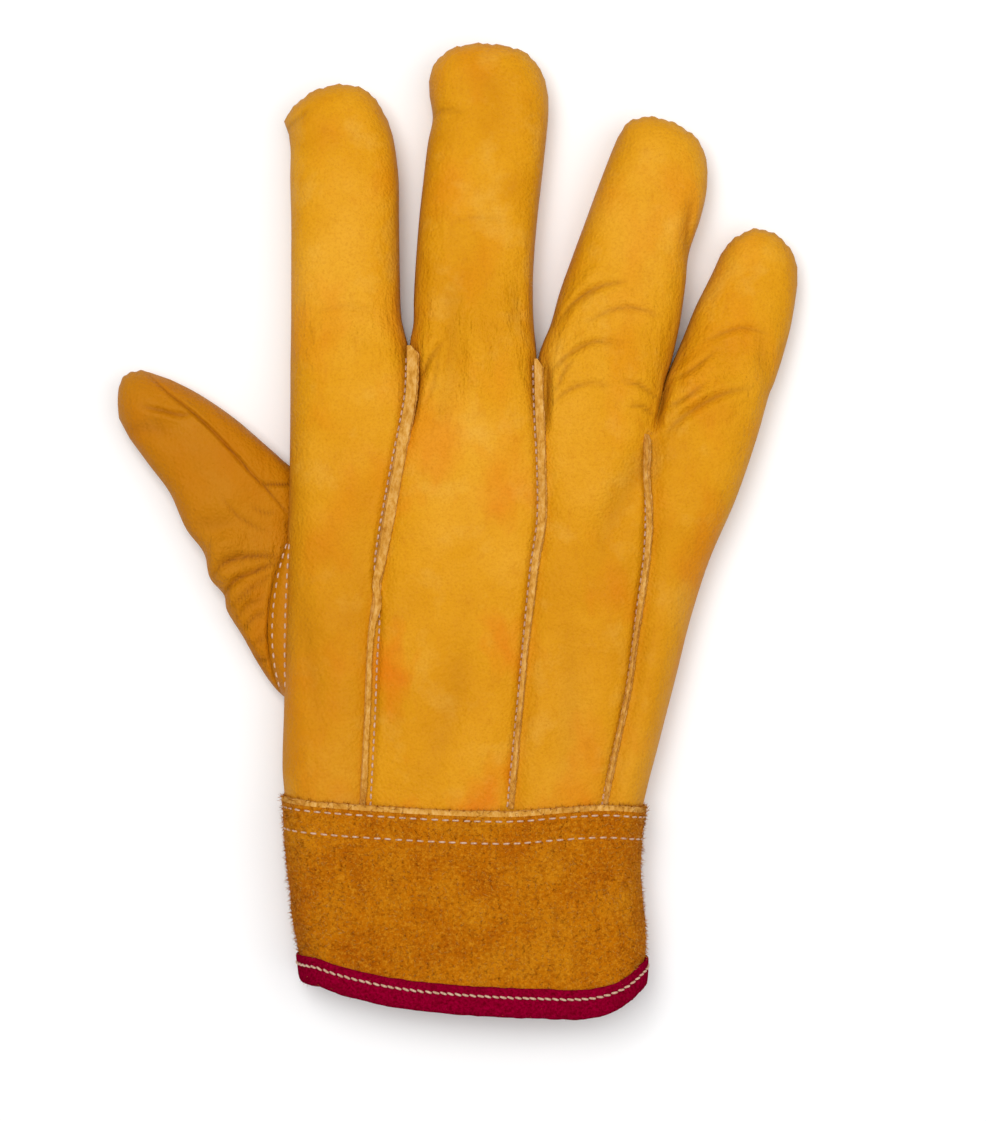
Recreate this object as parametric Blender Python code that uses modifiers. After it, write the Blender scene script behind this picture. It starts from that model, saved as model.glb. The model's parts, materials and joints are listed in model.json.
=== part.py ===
"""Right-hand leather work glove with a suede safety cuff, lying palm down.

Metres, +Z up. The fingers point along +Y, the thumb lies at -X and the back of the hand faces up.
The origin is on the flat underside of the palm. Every panel is a sheet of leather, lofted as an
open surface and thickened inward, so the glove is hollow from the cuff to the fingertips.
"""

import math
from collections import namedtuple

import bmesh
import bpy
from mathutils import Matrix, Vector

MM = 0.001

# Sheet goods, thread and clearances
LEATHER = 1.3 * MM
SUEDE = 1.5 * MM
TAPE = 0.9 * MM
THREAD_RADIUS = 0.45 * MM
WELT_WIDTH = 3.0 * MM
WELT_THICKNESS = 1.2 * MM
SEAM_GAP = LEATHER - 0.3 * MM  # between panels sewn edge to edge
LAY_GAP = 0.35 * MM  # between a piece and the surface that it lies on
HINGE_GAP = 0.8 * MM  # between two bodies at their joint's axis

# Hand, measured from the cuff seam at the wrist to the index finger's base joint
CUFF_SEAM_Y = -46.0 * MM
PALM_LENGTH = 135.0 * MM
WRIST_LEFT_X = -50.4 * MM
WRIST_STRIPS = (24.3 * MM, 41.4 * MM, 26.6 * MM, 12.0 * MM)
SEAM_BOWS = (0.0, -1.5 * MM, 2.2 * MM, 2.6 * MM, -2.5 * MM)  # sideways sag of each strip edge
HAND_HEIGHT = 22.0 * MM
HAND_CROWN = 2.0 * MM
HAND_CORNER = 11.0 * MM
INDEX_LEFT_X = -48.0 * MM
VALLEY_START = 0.55  # share of the palm where the hollows between the fingers begin
CROTCH_START = 0.93  # share of the palm where the strips part into fingers
SEAM_END = 0.92

# Wrist joint, across the hand just above the cuff
WRIST_ABOVE_SEAM = 14.0 * MM
WRIST_HEIGHT = 12.0 * MM
WRIST_TURN = math.radians(25)
TUCK_LENGTH = 0.6  # share of the way from the joint to the cuff seam in which the hand narrows

# Fingers. step is the way from the last finger's base corner to this one's, and lengths run from
# the base joint to the middle joint, the end joint and the tip.
Finger = namedtuple("Finger", "name splay step root_width tip_width height hinge_height lengths")
FINGERS = (
    Finger("index", 0.0, (0.0, 0.0), 31.2 * MM, 30.6 * MM, 22.0 * MM, 8.0 * MM,
           (22.0 * MM, 23.0 * MM, 24.3 * MM)),
    Finger("middle", 4.7, (4.2 * MM, 1.9 * MM), 34.0 * MM, 33.0 * MM, 22.5 * MM, 8.0 * MM,
           (25.0 * MM, 28.0 * MM, 28.0 * MM)),
    Finger("ring", 15.4, (5.3 * MM, 2.5 * MM), 34.5 * MM, 28.5 * MM, 22.0 * MM, 8.0 * MM,
           (21.5 * MM, 22.0 * MM, 22.5 * MM)),
    Finger("little", 18.4, (2.8 * MM, 3.6 * MM), 28.8 * MM, 24.0 * MM, 19.0 * MM, 6.5 * MM,
           (12.5 * MM, 13.0 * MM, 13.5 * MM)),
)
FINGER_TURNS = (math.radians(65), math.radians(80), math.radians(48))
SEGMENTS = ("base", "mid", "tip")
FINGER_CORNER = 0.44  # corner radius as a share of the finger's width
TIP_ROUND = 0.46  # length of the rounded tip as a share of its width
TIP_FLAT = 0.45  # width left at the very tip as a share of its width

# Thumb. Its base joint lies beside the hand's left edge, and its end joint lies across the thumb.
THUMB_LOW_Y = -17.0 * MM
THUMB_HIGH_Y = 47.0 * MM
THUMB_CROTCH_ROOM = 5.0 * MM  # keeps the thumb's upper edge clear of the hand's side
THUMB_HINGE_INSET = 11.5 * MM
THUMB_HINGE_HEIGHT = 0.65 * MM
THUMB_TURN = math.radians(45)
THUMB_BASE_HEIGHT = HAND_HEIGHT - 7.0 * MM
THUMB_BASE_CORNER = 9.0 * MM
THUMB_TILT = 38.0  # degrees to the left of the fingers
THUMB_JOINT = Vector((-71.8 * MM, 50.8 * MM, 0.0))
THUMB_WIDTH = 30.0 * MM
THUMB_TIP_WIDTH = 23.0 * MM
THUMB_TIP_LENGTH = 34.0 * MM
THUMB_HEIGHT = 18.0 * MM
THUMB_JOINT_HEIGHT = 7.0 * MM
THUMB_TIP_TURN = math.radians(50)
GUSSET_WIDTH = 8.0 * MM
GUSSET_EDGE = 0.8 * MM  # from the hand's left edge to the gusset's lower edge
GUSSET_STITCH_SPACING = 4.0 * MM

# Cuff
CUFF_LENGTH = 52.0 * MM
CUFF_BELLY = 6.5 * MM
CUFF_HEIGHT = 24.0 * MM
CUFF_LIFT = 2.7 * MM  # leaves room under the cuff for the tape and its stitches
CUFF_CORNER = 11.5 * MM
CUFF_BOTTOM_INSETS = (5.8 * MM, 0.8 * MM)  # how far the left and right edges draw in
CUFF_LAP = 11.0 * MM
CUFF_CLEARANCE = 1.0 * MM  # between the cuff and the hand's end inside it
CUFF_STITCH_ROWS = (2.5 * MM, 8.7 * MM)
TAPE_DEPTH = 7.5 * MM
TAPE_STITCH_DEPTH = 4.5 * MM

# Finishes: colour and roughness
GRAIN = ((0.74, 0.35, 0.03, 1.0), 0.42)
NAP = ((0.50, 0.16, 0.01, 1.0), 0.95)
RAW_EDGE = ((0.55, 0.29, 0.09, 1.0), 0.9)
THREAD = ((0.80, 0.62, 0.48, 1.0), 0.6)
BURGUNDY = ((0.23, 0.005, 0.02, 1.0), 0.75)

# Facets
STRIP_COLUMNS = 7
PALM_COLUMNS = 5
SEAM_ROWS = 9
SEGMENT_ROWS = 3
TIP_ROWS = 5
FINGER_COLUMNS = 8
CUFF_COLUMNS = 14
CUFF_ROWS = 3
THUMB_ROWS = 3
THUMB_COLUMNS = 10
WRIST_ROWS = 3

Pivot = namedtuple("Pivot", "empty frame")
KNUCKLE_Y = CUFF_SEAM_Y + PALM_LENGTH
WRIST_Y = CUFF_SEAM_Y + WRIST_ABOVE_SEAM
WRIST_SHARE = WRIST_ABOVE_SEAM / PALM_LENGTH
LAP_SHARE = -CUFF_LAP / PALM_LENGTH
THREAD_LIFT = LAY_GAP + 1.4 * THREAD_RADIUS
BACK, PALM = 1, -1  # the glove's upper and lower side


def lerp(a, b, share):
    return a + (b - a) * share


def smooth(share):
    share = min(max(share, 0.0), 1.0)
    return share * share * (3.0 - 2.0 * share)


def even(count, start=0.0, end=1.0):
    return [lerp(start, end, k / count) for k in range(count + 1)]


def spread(count):
    """Shares from 0 to 1, closer together at both ends."""
    return [0.5 - 0.5 * math.cos(math.pi * k / count) for k in range(count + 1)]


def arch(across, width, corner):
    """Share of the height over a flat-topped section with elliptic corners: 0 at its sides."""
    inset = max(0.0, corner - min(across, width - across))
    return math.sqrt(max(0.0, 1.0 - (inset / corner) ** 2))


# ---------------------------------------------------------------- objects


def new_collection(name):
    collection = bpy.data.collections.new(name)
    bpy.context.scene.collection.children.link(collection)
    return collection


def add_pivot(collection, name, frame, parent=None):
    """An empty on a joint's axis, with its place in the world as its frame."""
    empty = bpy.data.objects.new(name, None)
    collection.objects.link(empty)
    if parent:
        empty.parent = parent.empty
        frame_in_parent = parent.frame.inverted() @ frame
        empty.matrix_basis = frame_in_parent
    else:
        empty.matrix_basis = frame
    return Pivot(empty, frame)


def add_material(name, finish):
    colour, roughness = finish
    material = bpy.data.materials.new(name)
    material.use_nodes = True
    shader = material.node_tree.nodes["Principled BSDF"]
    shader.inputs["Base Color"].default_value = colour
    shader.inputs["Roughness"].default_value = roughness
    shader.inputs["Metallic"].default_value = 0.0
    return material


def add_piece(collection, name, data, finish, pivot):
    """An object whose data is in world coordinates, hung from a joint's empty."""
    data.transform(pivot.frame.inverted())
    data.materials.append(add_material(name, finish))
    obj = bpy.data.objects.new(name, data)
    collection.objects.link(obj)
    obj.parent = pivot.empty
    return obj


def loft_mesh(name, rows, closed_rows=False, closed_ends=False):
    """Quads through rows of points. The rows, and the row of rows, may be closed loops."""
    bm = bmesh.new()
    grid = [[bm.verts.new(point) for point in row] for row in rows]
    last_row = len(grid) if closed_ends else len(grid) - 1
    last_column = len(grid[0]) if closed_rows else len(grid[0]) - 1
    for i in range(last_row):
        near, far = grid[i], grid[(i + 1) % len(grid)]
        for k in range(last_column):
            j = (k + 1) % len(near)
            bm.faces.new((near[k], near[j], far[j], far[k]))
    bmesh.ops.remove_doubles(bm, verts=bm.verts, dist=0.001 * MM)
    mesh = bpy.data.meshes.new(name)
    bm.to_mesh(mesh)
    bm.free()
    mesh.shade_smooth()
    return mesh


def add_sheet(collection, name, rows, thickness, finish, pivot, offset=-1.0):
    """A lofted open surface, thickened to its inner side, or to its outer side at offset 1."""
    obj = add_piece(collection, name, loft_mesh(name, rows), finish, pivot)
    solid = obj.modifiers.new("Thickness", "SOLIDIFY")
    solid.thickness = thickness
    solid.offset = offset
    return obj


def add_thread(collection, name, points, pivot, cyclic=False):
    """A row of stitches as one thin cord."""
    curve = bpy.data.curves.new(name, "CURVE")
    curve.dimensions = "3D"
    curve.bevel_depth = THREAD_RADIUS
    curve.bevel_resolution = 0
    curve.use_fill_caps = True
    spline = curve.splines.new("POLY")
    spline.points.add(len(points) - 1)
    for slot, point in zip(spline.points, points):
        slot.co = point.to_4d()
    spline.use_cyclic_u = cyclic
    return add_piece(collection, name, curve, THREAD, pivot)


# ---------------------------------------------------------------- sections of the hand


def finger_frames():
    """Each finger's base joint at floor level, with +X across the finger and +Y along it."""
    frames = []
    corner = Vector((INDEX_LEFT_X, KNUCKLE_Y, 0.0))
    for finger in FINGERS:
        turn = Matrix.Rotation(-math.radians(finger.splay), 4, "Z")
        half_width = turn @ Vector((finger.root_width / 2, 0.0, 0.0))
        centre = corner + Vector((*finger.step, 0.0)) + half_width
        frames.append(Matrix.Translation(centre) @ turn)
        corner = centre + half_width
    return frames


FINGER_FRAMES = finger_frames()


def base_corner(index, side):
    """The left (-1) or right (1) end of a finger's base joint."""
    return FINGER_FRAMES[index] @ Vector((side * FINGERS[index].root_width / 2, 0.0, 0.0))


def palm_share(y):
    return (y - CUFF_SEAM_Y) / PALM_LENGTH


def edge_x(edge, share):
    """X of the line between two strips, from 0 at the left to 4 at the right."""
    wrist = WRIST_LEFT_X + sum(WRIST_STRIPS[:edge])
    if edge == 0:
        knuckle = base_corner(0, -1).x
    elif edge == len(FINGERS):
        knuckle = base_corner(edge - 1, 1).x
    else:
        knuckle = (base_corner(edge - 1, 1).x + base_corner(edge, -1).x) / 2
    return lerp(wrist, knuckle, share) + SEAM_BOWS[edge] * 4 * share * (1 - share)


def cuff_tuck(share):
    """How far the hand is tucked inside the cuff: 0 at the wrist joint and 1 before its seam."""
    return smooth((WRIST_SHARE - share) / (TUCK_LENGTH * WRIST_SHARE))


def cuff_sides(share):
    """Left and right x of the cuff: share runs from 0 at its seam to 1 at its lower edge."""
    left = WRIST_LEFT_X + CUFF_BOTTOM_INSETS[0] * share
    right = WRIST_LEFT_X + sum(WRIST_STRIPS) - CUFF_BOTTOM_INSETS[1] * share
    return left, right


def hand_sides(share):
    tuck = cuff_tuck(share)
    wall = SUEDE + CUFF_CLEARANCE
    cuff_left, cuff_right = cuff_sides(max(-share, 0.0) * PALM_LENGTH / CUFF_LENGTH)
    left = lerp(edge_x(0, share), cuff_left + wall, tuck)
    right = lerp(edge_x(len(FINGERS), share), cuff_right - wall, tuck)
    return left, right


def hand_z(x, share, side):
    """Height of the hand's back or palm without its fingers."""
    left, right = hand_sides(share)
    tuck = cuff_tuck(share)
    bottom = tuck * (CUFF_LIFT + SUEDE + CUFF_CLEARANCE)
    top = lerp(HAND_HEIGHT, CUFF_LIFT + CUFF_HEIGHT - SUEDE - CUFF_CLEARANCE, tuck)
    middle = (bottom + top) / 2
    across = min(max(x - left, 0.0), right - left)
    rise = arch(across, right - left, HAND_CORNER)
    if side == BACK:
        crown = HAND_CROWN * math.sin(math.pi * across / (right - left))
        return middle + SEAM_GAP / 2 + (top - middle - SEAM_GAP / 2) * rise + crown
    lip = LEATHER + SEAM_GAP / 2  # the palm's turned-up edge stays below the back's edge
    return middle - lip - (middle - bottom - lip) * rise


def finger_z(finger, across, side, rise=1.0, lip=SEAM_GAP / 2):
    """Height of a finger's section at a share of its width. rise shrinks it towards its middle."""
    middle = finger.height / 2
    return middle + side * (lip + (middle - lip) * rise * arch(across, 1.0, FINGER_CORNER))


def strip_sides(index, share):
    """Left and right x of a strip, which parts from its neighbours to meet its finger's base."""
    parting = smooth((share - CROTCH_START) / (1.0 - CROTCH_START))
    left, right = edge_x(index, share) + SEAM_GAP / 2, edge_x(index + 1, share) - SEAM_GAP / 2
    if index == 0:
        left = hand_sides(share)[0]
    if index == len(FINGERS) - 1:
        right = hand_sides(share)[1]
    left = lerp(left, base_corner(index, -1).x, parting)
    right = lerp(right, base_corner(index, 1).x, parting)
    return left, right


def strip_z(index, across, share, side):
    """Height of a strip, which turns from the hand's section into its finger's section."""
    x = lerp(*strip_sides(index, share), across)
    valley = smooth((share - VALLEY_START) / (1.0 - VALLEY_START))
    lip = SEAM_GAP / 2 if side == BACK else LEATHER + SEAM_GAP / 2
    on_finger = finger_z(FINGERS[index], across, side, lip=lip)
    return lerp(hand_z(x, share, side), on_finger, valley)


def front_y(index, across, z):
    """Y of the hand's front edge, cut back below the finger's base joint to let it bend."""
    edge = lerp(base_corner(index, -1).y, base_corner(index, 1).y, across)
    below = max(0.0, FINGERS[index].hinge_height - z)
    return edge - HINGE_GAP / 2 - below * math.tan(FINGER_TURNS[0] / 2)


def wrist_y(z, side):
    """Y of an edge at the wrist joint: side is 1 on the hand and -1 on the cuff."""
    return WRIST_Y + side * (HINGE_GAP / 2 + abs(z - WRIST_HEIGHT) * math.tan(WRIST_TURN / 2))


def hand_row(index, along, count, side):
    """A row across a strip. along runs from 0 at the wrist joint to 1 at the finger."""
    share = lerp(WRIST_SHARE, 1.0, along)
    row = []
    for across in spread(count):
        rear = wrist_y(strip_z(index, across, WRIST_SHARE, side), 1)
        front = front_y(index, across, strip_z(index, across, 1.0, side))
        x = lerp(*strip_sides(index, share), across)
        row.append(Vector((x, lerp(rear, front, along), strip_z(index, across, share, side))))
    return row


def wrist_row(index, along, count, side):
    """A row across the hand's end inside the cuff, from its lap under the cuff to the joint."""
    share = lerp(LAP_SHARE, WRIST_SHARE, along)
    row = []
    for across in spread(count):
        front = wrist_y(strip_z(index, across, WRIST_SHARE, side), -1)
        x = lerp(*strip_sides(index, share), across)
        y = lerp(CUFF_SEAM_Y - CUFF_LAP, front, along)
        row.append(Vector((x, y, strip_z(index, across, share, side))))
    return row


# ---------------------------------------------------------------- hand


def along_at(y):
    return (y - WRIST_Y) / (KNUCKLE_Y - WRIST_Y)


def hand_alongs():
    """Where the hand's rows lie, with a pair of rows close together at each end of the thumb."""
    low, high = along_at(THUMB_LOW_Y - SEAM_GAP), along_at(THUMB_HIGH_Y + SEAM_GAP)
    step = along_at(WRIST_Y + 2 * SEAM_GAP)
    return [
        *even(2, 0.0, low - step),
        *even(5, low, high),
        *even(5, high + step, 1.0),
    ]


def back_rows(index, make_row, alongs):
    return [make_row(index, along, STRIP_COLUMNS, BACK) for along in alongs]


def palm_rows(make_row, alongs):
    """The palm side of every strip as one sheet."""
    strips = range(len(FINGERS))
    return [
        [point for index in strips for point in make_row(index, along, PALM_COLUMNS, PALM)]
        for along in alongs
    ]


def seen_from_below(rows):
    """Right comes first on the lower side, so that its faces point down."""
    return [row[::-1] for row in rows]


def beside_thumb(y):
    return THUMB_LOW_Y - 2 * SEAM_GAP < y < THUMB_HIGH_Y + 2 * SEAM_GAP


def thumb_hinge_x(y):
    """X of the thumb's base joint, a straight line beside the hand's left edge."""
    low = hand_sides(palm_share(THUMB_LOW_Y))[0]
    high = hand_sides(palm_share(THUMB_HIGH_Y))[0]
    share = (y - THUMB_LOW_Y) / (THUMB_HIGH_Y - THUMB_LOW_Y)
    return lerp(low, high, share) + THUMB_HINGE_INSET


def gusset_sides(y):
    left = hand_sides(palm_share(y))[0]
    return left + GUSSET_EDGE, left + GUSSET_WIDTH


def draw_in(row, edge, height):
    """Moves a row's first points right to at least edge, in small steps, at the height there."""
    for k, point in enumerate(row):
        limit = edge + k * SEAM_GAP
        if point.x < limit:
            row[k] = Vector((limit, point.y, height(limit)))


def index_strip_rows():
    """The index strip, drawn in beside the thumb to leave room for the gusset."""
    rows = back_rows(0, hand_row, hand_alongs())
    for row in rows:
        y = row[0].y
        if beside_thumb(y):
            edge = gusset_sides(y)[1] + SEAM_GAP
            draw_in(row, edge, lambda x, share=palm_share(y): hand_z(x, share, BACK))
    return rows


def palm_panel_rows():
    """The palm, drawn in and laid flat beside the thumb up to the thumb's base joint."""
    rows = palm_rows(hand_row, hand_alongs())
    for row in rows:
        y = row[0].y
        if beside_thumb(y):
            draw_in(row, thumb_hinge_x(y) + HINGE_GAP / 2, lambda x: 0.0)
    return seen_from_below(rows)


def gusset_rows():
    """The narrow strip over the hand's left edge, between the index strip and the thumb."""
    rows = []
    for y in even(SEAM_ROWS, THUMB_LOW_Y + SEAM_GAP, THUMB_HIGH_Y - SEAM_GAP):
        xs = [lerp(*gusset_sides(y), share * share) for share in even(4)]
        rows.append([Vector((x, y, hand_z(x, palm_share(y), BACK))) for x in xs])
    return rows


def gusset_stitches(side):
    """A stitch row on the gusset: side is 1 beside the index strip and -1 beside the thumb."""
    points = []
    for y in even(SEAM_ROWS, THUMB_LOW_Y + 3 * SEAM_GAP, THUMB_HIGH_Y - 3 * SEAM_GAP):
        x = sum(gusset_sides(y)) / 2 + side * GUSSET_STITCH_SPACING / 2
        points.append(Vector((x, y, hand_z(x, palm_share(y), BACK) + 2 * THREAD_LIFT)))
    return points


def seam_points(edge, offset, lift):
    """Points along a back seam, set sideways by offset and lifted off the leather."""
    index = edge if offset > 0 else edge - 1
    start = palm_share(wrist_y(HAND_HEIGHT + HAND_CROWN, 1) + 2 * HINGE_GAP)
    points = []
    for share in even(SEAM_ROWS, start, SEAM_END):
        left, right = strip_sides(index, share)
        x = edge_x(edge, share) + offset
        across = min(max((x - left) / (right - left), 0.0), 1.0)
        front = lerp(base_corner(index, -1).y, base_corner(index, 1).y, across)
        y = lerp(WRIST_Y, front, (share - WRIST_SHARE) / (1.0 - WRIST_SHARE))
        points.append(Vector((x, y, strip_z(index, across, share, BACK) + lift)))
    return points


def add_back_seam(collection, edge, pivot):
    """The raw seam allowance that stands on the back, with the stitches to its left."""
    name = f"{FINGERS[edge - 1].name}_{FINGERS[edge].name}"
    lift = 2 * LAY_GAP
    left = seam_points(edge, -WELT_WIDTH / 2, lift)
    right = seam_points(edge, WELT_WIDTH / 2, lift)
    for near, far in zip(left, right):
        near.z = far.z = max(near.z, far.z)
        far.y = near.y
    rows = [list(pair) for pair in zip(left, right)]
    add_sheet(collection, f"{name}_seam_welt", rows, WELT_THICKNESS, RAW_EDGE, pivot, offset=1.0)
    stitches = seam_points(edge, -WELT_WIDTH / 2 - LAY_GAP - THREAD_RADIUS, THREAD_LIFT)
    add_thread(collection, f"{name}_seam_stitches", stitches, pivot)


def add_hand(collection, pivot):
    add_sheet(collection, "palm_panel", palm_panel_rows(), LEATHER, GRAIN, pivot)
    add_sheet(collection, "index_back_strip", index_strip_rows(), LEATHER, GRAIN, pivot)
    for index, finger in enumerate(FINGERS[1:], start=1):
        rows = back_rows(index, hand_row, hand_alongs())
        add_sheet(collection, f"{finger.name}_back_strip", rows, LEATHER, GRAIN, pivot)
    add_sheet(collection, "thumb_gusset", gusset_rows(), LEATHER, GRAIN, pivot)
    add_thread(collection, "gusset_inner_stitches", gusset_stitches(1), pivot)
    add_thread(collection, "gusset_outer_stitches", gusset_stitches(-1), pivot)
    for edge in range(1, len(FINGERS)):
        add_back_seam(collection, edge, pivot)


# ---------------------------------------------------------------- fingers


def finger_point(finger, across, s, side):
    """A point on a finger in its base frame, s along it from the base joint."""
    total = sum(finger.lengths)
    rounding = TIP_ROUND * finger.tip_width
    bend = min(max((s - total + rounding) / rounding, 0.0), 1.0)
    fall = math.sqrt(1.0 - bend * bend)
    width = lerp(finger.root_width, finger.tip_width, s / total) * lerp(TIP_FLAT, 1.0, fall)
    return Vector(((across - 0.5) * width, s, finger_z(finger, across, side, rise=fall)))


def joint_cut(z, hinge_height, turn):
    """How far a piece ends before its joint's axis, so that the bend has room below it."""
    return HINGE_GAP / 2 + max(0.0, hinge_height - z) * math.tan(turn / 2)


def towards_end(count):
    """Shares from 0 to 1, closer together at the end, for a rounded tip."""
    return [math.sin(math.pi / 2 * k / count) for k in range(count + 1)]


def segment_rows(finger, number, side):
    """One half of a finger segment: number runs from 0 at the base joint to 2 at the tip."""
    start, end = sum(finger.lengths[:number]), sum(finger.lengths[: number + 1])
    is_tip = number == len(SEGMENTS) - 1
    rows = []
    for share in towards_end(TIP_ROWS) if is_tip else even(SEGMENT_ROWS):
        row = []
        for across in spread(FINGER_COLUMNS):
            z = finger_z(finger, across, side)
            near = start + joint_cut(z, finger.hinge_height, FINGER_TURNS[number])
            far = end
            if not is_tip:
                far -= joint_cut(z, finger.hinge_height, FINGER_TURNS[number + 1])
            row.append(finger_point(finger, across, lerp(near, far, share), side))
        rows.append(row)
    return rows


def placed(rows, frame):
    return [[frame @ point for point in row] for row in rows]


def add_finger(collection, index, hand):
    """Three segments on three joints, each segment a back half and a palm half."""
    finger = FINGERS[index]
    pivot = hand
    for number, segment in enumerate(SEGMENTS):
        joint = Vector((0.0, sum(finger.lengths[:number]), finger.hinge_height))
        frame = FINGER_FRAMES[index] @ Matrix.Translation(joint)
        pivot = add_pivot(collection, f"{finger.name}_{segment}_joint", frame, pivot)
        name = f"{finger.name}_{segment}"
        back = placed(segment_rows(finger, number, BACK), FINGER_FRAMES[index])
        front = placed(segment_rows(finger, number, PALM), FINGER_FRAMES[index])
        add_sheet(collection, f"{name}_back", back, LEATHER, GRAIN, pivot)
        add_sheet(collection, f"{name}_front", seen_from_below(front), LEATHER, GRAIN, pivot)


# ---------------------------------------------------------------- thumb


def thumb_frame():
    """The thumb's end joint at floor level, with +X across the thumb and +Y along it."""
    return Matrix.Translation(THUMB_JOINT) @ Matrix.Rotation(math.radians(THUMB_TILT), 4, "Z")


def thumb_z(across, side, height, corner, rise=1.0):
    middle = height / 2
    return middle + side * (SEAM_GAP / 2 + (middle - SEAM_GAP / 2) * rise * arch(across, 1.0, corner))


def thumb_base_point(across, side):
    """The thumb's open end at the hand. It leans out from its joint to the gusset's edge."""
    length = THUMB_HIGH_Y - THUMB_LOW_Y
    y = lerp(THUMB_LOW_Y, THUMB_HIGH_Y - THUMB_CROTCH_ROOM, across)
    z = thumb_z(across, side, THUMB_BASE_HEIGHT, THUMB_BASE_CORNER / length)
    below = thumb_hinge_x(y) - HINGE_GAP / 2
    above = hand_sides(palm_share(y))[0] - SEAM_GAP
    return Vector((lerp(below, above, z / THUMB_BASE_HEIGHT), y, z))


def thumb_tip_point(across, s, side):
    """A point on the thumb beyond its end joint, in that joint's frame."""
    rounding = TIP_ROUND * THUMB_TIP_WIDTH
    bend = min(max((s - THUMB_TIP_LENGTH + rounding) / rounding, 0.0), 1.0)
    fall = math.sqrt(1.0 - bend * bend)
    share = max(s, 0.0) / THUMB_TIP_LENGTH
    width = lerp(THUMB_WIDTH, THUMB_TIP_WIDTH, share) * lerp(TIP_FLAT, 1.0, fall)
    z = thumb_z(across, side, THUMB_HEIGHT, FINGER_CORNER, rise=fall)
    return Vector(((across - 0.5) * width, s, z))


def thumb_base_rows(side):
    frame = thumb_frame()
    rows = []
    for share in even(THUMB_ROWS):
        row = []
        for across in spread(THUMB_COLUMNS):
            z = thumb_z(across, side, THUMB_HEIGHT, FINGER_CORNER)
            cut = joint_cut(z, THUMB_JOINT_HEIGHT, THUMB_TIP_TURN)
            end = frame @ thumb_tip_point(across, -cut, side)
            row.append(thumb_base_point(across, side).lerp(end, share))
        rows.append(row)
    return rows


def thumb_tip_rows(side):
    rows = []
    for share in towards_end(TIP_ROWS):
        row = []
        for across in spread(THUMB_COLUMNS):
            z = thumb_z(across, side, THUMB_HEIGHT, FINGER_CORNER)
            start = joint_cut(z, THUMB_JOINT_HEIGHT, THUMB_TIP_TURN)
            row.append(thumb_tip_point(across, lerp(start, THUMB_TIP_LENGTH, share), side))
        rows.append(row)
    return placed(rows, thumb_frame())


def thumb_hinge_frame():
    """The thumb's base joint, with +Y along its axis."""
    low = Vector((thumb_hinge_x(THUMB_LOW_Y), THUMB_LOW_Y, THUMB_HINGE_HEIGHT))
    high = Vector((thumb_hinge_x(THUMB_HIGH_Y), THUMB_HIGH_Y, THUMB_HINGE_HEIGHT))
    turn = (high - low).to_track_quat("Y", "Z").to_matrix().to_4x4()
    return Matrix.Translation((low + high) / 2) @ turn


def add_thumb(collection, hand):
    base = add_pivot(collection, "thumb_base_joint", thumb_hinge_frame(), hand)
    end_frame = thumb_frame() @ Matrix.Translation((0.0, 0.0, THUMB_JOINT_HEIGHT))
    tip = add_pivot(collection, "thumb_tip_joint", end_frame, base)
    for name, rows, pivot in (
        ("thumb_base", thumb_base_rows, base),
        ("thumb_tip", thumb_tip_rows, tip),
    ):
        add_sheet(collection, f"{name}_back", rows(BACK), LEATHER, GRAIN, pivot)
        front = seen_from_below(rows(PALM))
        add_sheet(collection, f"{name}_front", front, LEATHER, GRAIN, pivot)


# ---------------------------------------------------------------- cuff


def cuff_loop(share):
    """Places around the cuff's outer surface and the ways out from it, from the right side over
    the back to the left side and under the palm to the right side again."""
    left, right = cuff_sides(share)
    middle = CUFF_LIFT + CUFF_HEIGHT / 2
    places = []
    for side in (BACK, PALM):
        for step in spread(CUFF_COLUMNS)[:-1]:
            across = (1.0 - step if side == BACK else step) * (right - left)
            crown = HAND_CROWN * math.sin(math.pi * across / (right - left)) if side == BACK else 0
            rise = CUFF_HEIGHT / 2 * arch(across, right - left, CUFF_CORNER)
            places.append(Vector((left + across, 0.0, middle + side * rise + crown)))
    ways = []
    for k, place in enumerate(places):
        along = places[(k + 1) % len(places)] - places[k - 1]
        ways.append(Vector((along.z, 0.0, -along.x)).normalized())
    return list(zip(places, ways))


def cuff_bottom_y(x):
    left, right = cuff_sides(1.0)
    across = min(max((x - left) / (right - left), 0.0), 1.0)
    return CUFF_SEAM_Y - CUFF_LENGTH - CUFF_BELLY * math.sin(math.pi * across)


def cuff_ring(below, outward=0.0):
    """A loop of points around the cuff at a depth below its seam, moved out from its surface."""
    share = below / CUFF_LENGTH
    ring = []
    for place, way in cuff_loop(share):
        y = lerp(CUFF_SEAM_Y, cuff_bottom_y(place.x), share)
        ring.append(Vector((place.x, y, place.z)) + way * outward)
    return ring


def cuff_rows():
    """The cuff as one sheet, whose ends meet in a side seam by the little finger."""
    rows = []
    for below in even(CUFF_ROWS, 0.0, CUFF_LENGTH):
        ring = cuff_ring(below)
        first, last = ring[0].copy(), ring[0].copy()
        first.z += SEAM_GAP / 2
        last.z -= SEAM_GAP / 2
        rows.append([first, *ring[1:], last])
    return rows


def tape_rows():
    """The tape's section, a thin U over the cuff's lower edge, as rings around the cuff."""
    outside, inside = LAY_GAP, -SUEDE - 2 * LAY_GAP
    top, bottom = CUFF_LENGTH - TAPE_DEPTH, CUFF_LENGTH + LAY_GAP
    section = (
        (top, outside), (top, outside + TAPE), (bottom + TAPE, outside + TAPE),
        (bottom + TAPE, inside - TAPE), (top, inside - TAPE), (top, inside),
        (bottom, inside), (bottom, outside),
    )
    return [cuff_ring(below, outward) for below, outward in section]


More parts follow.
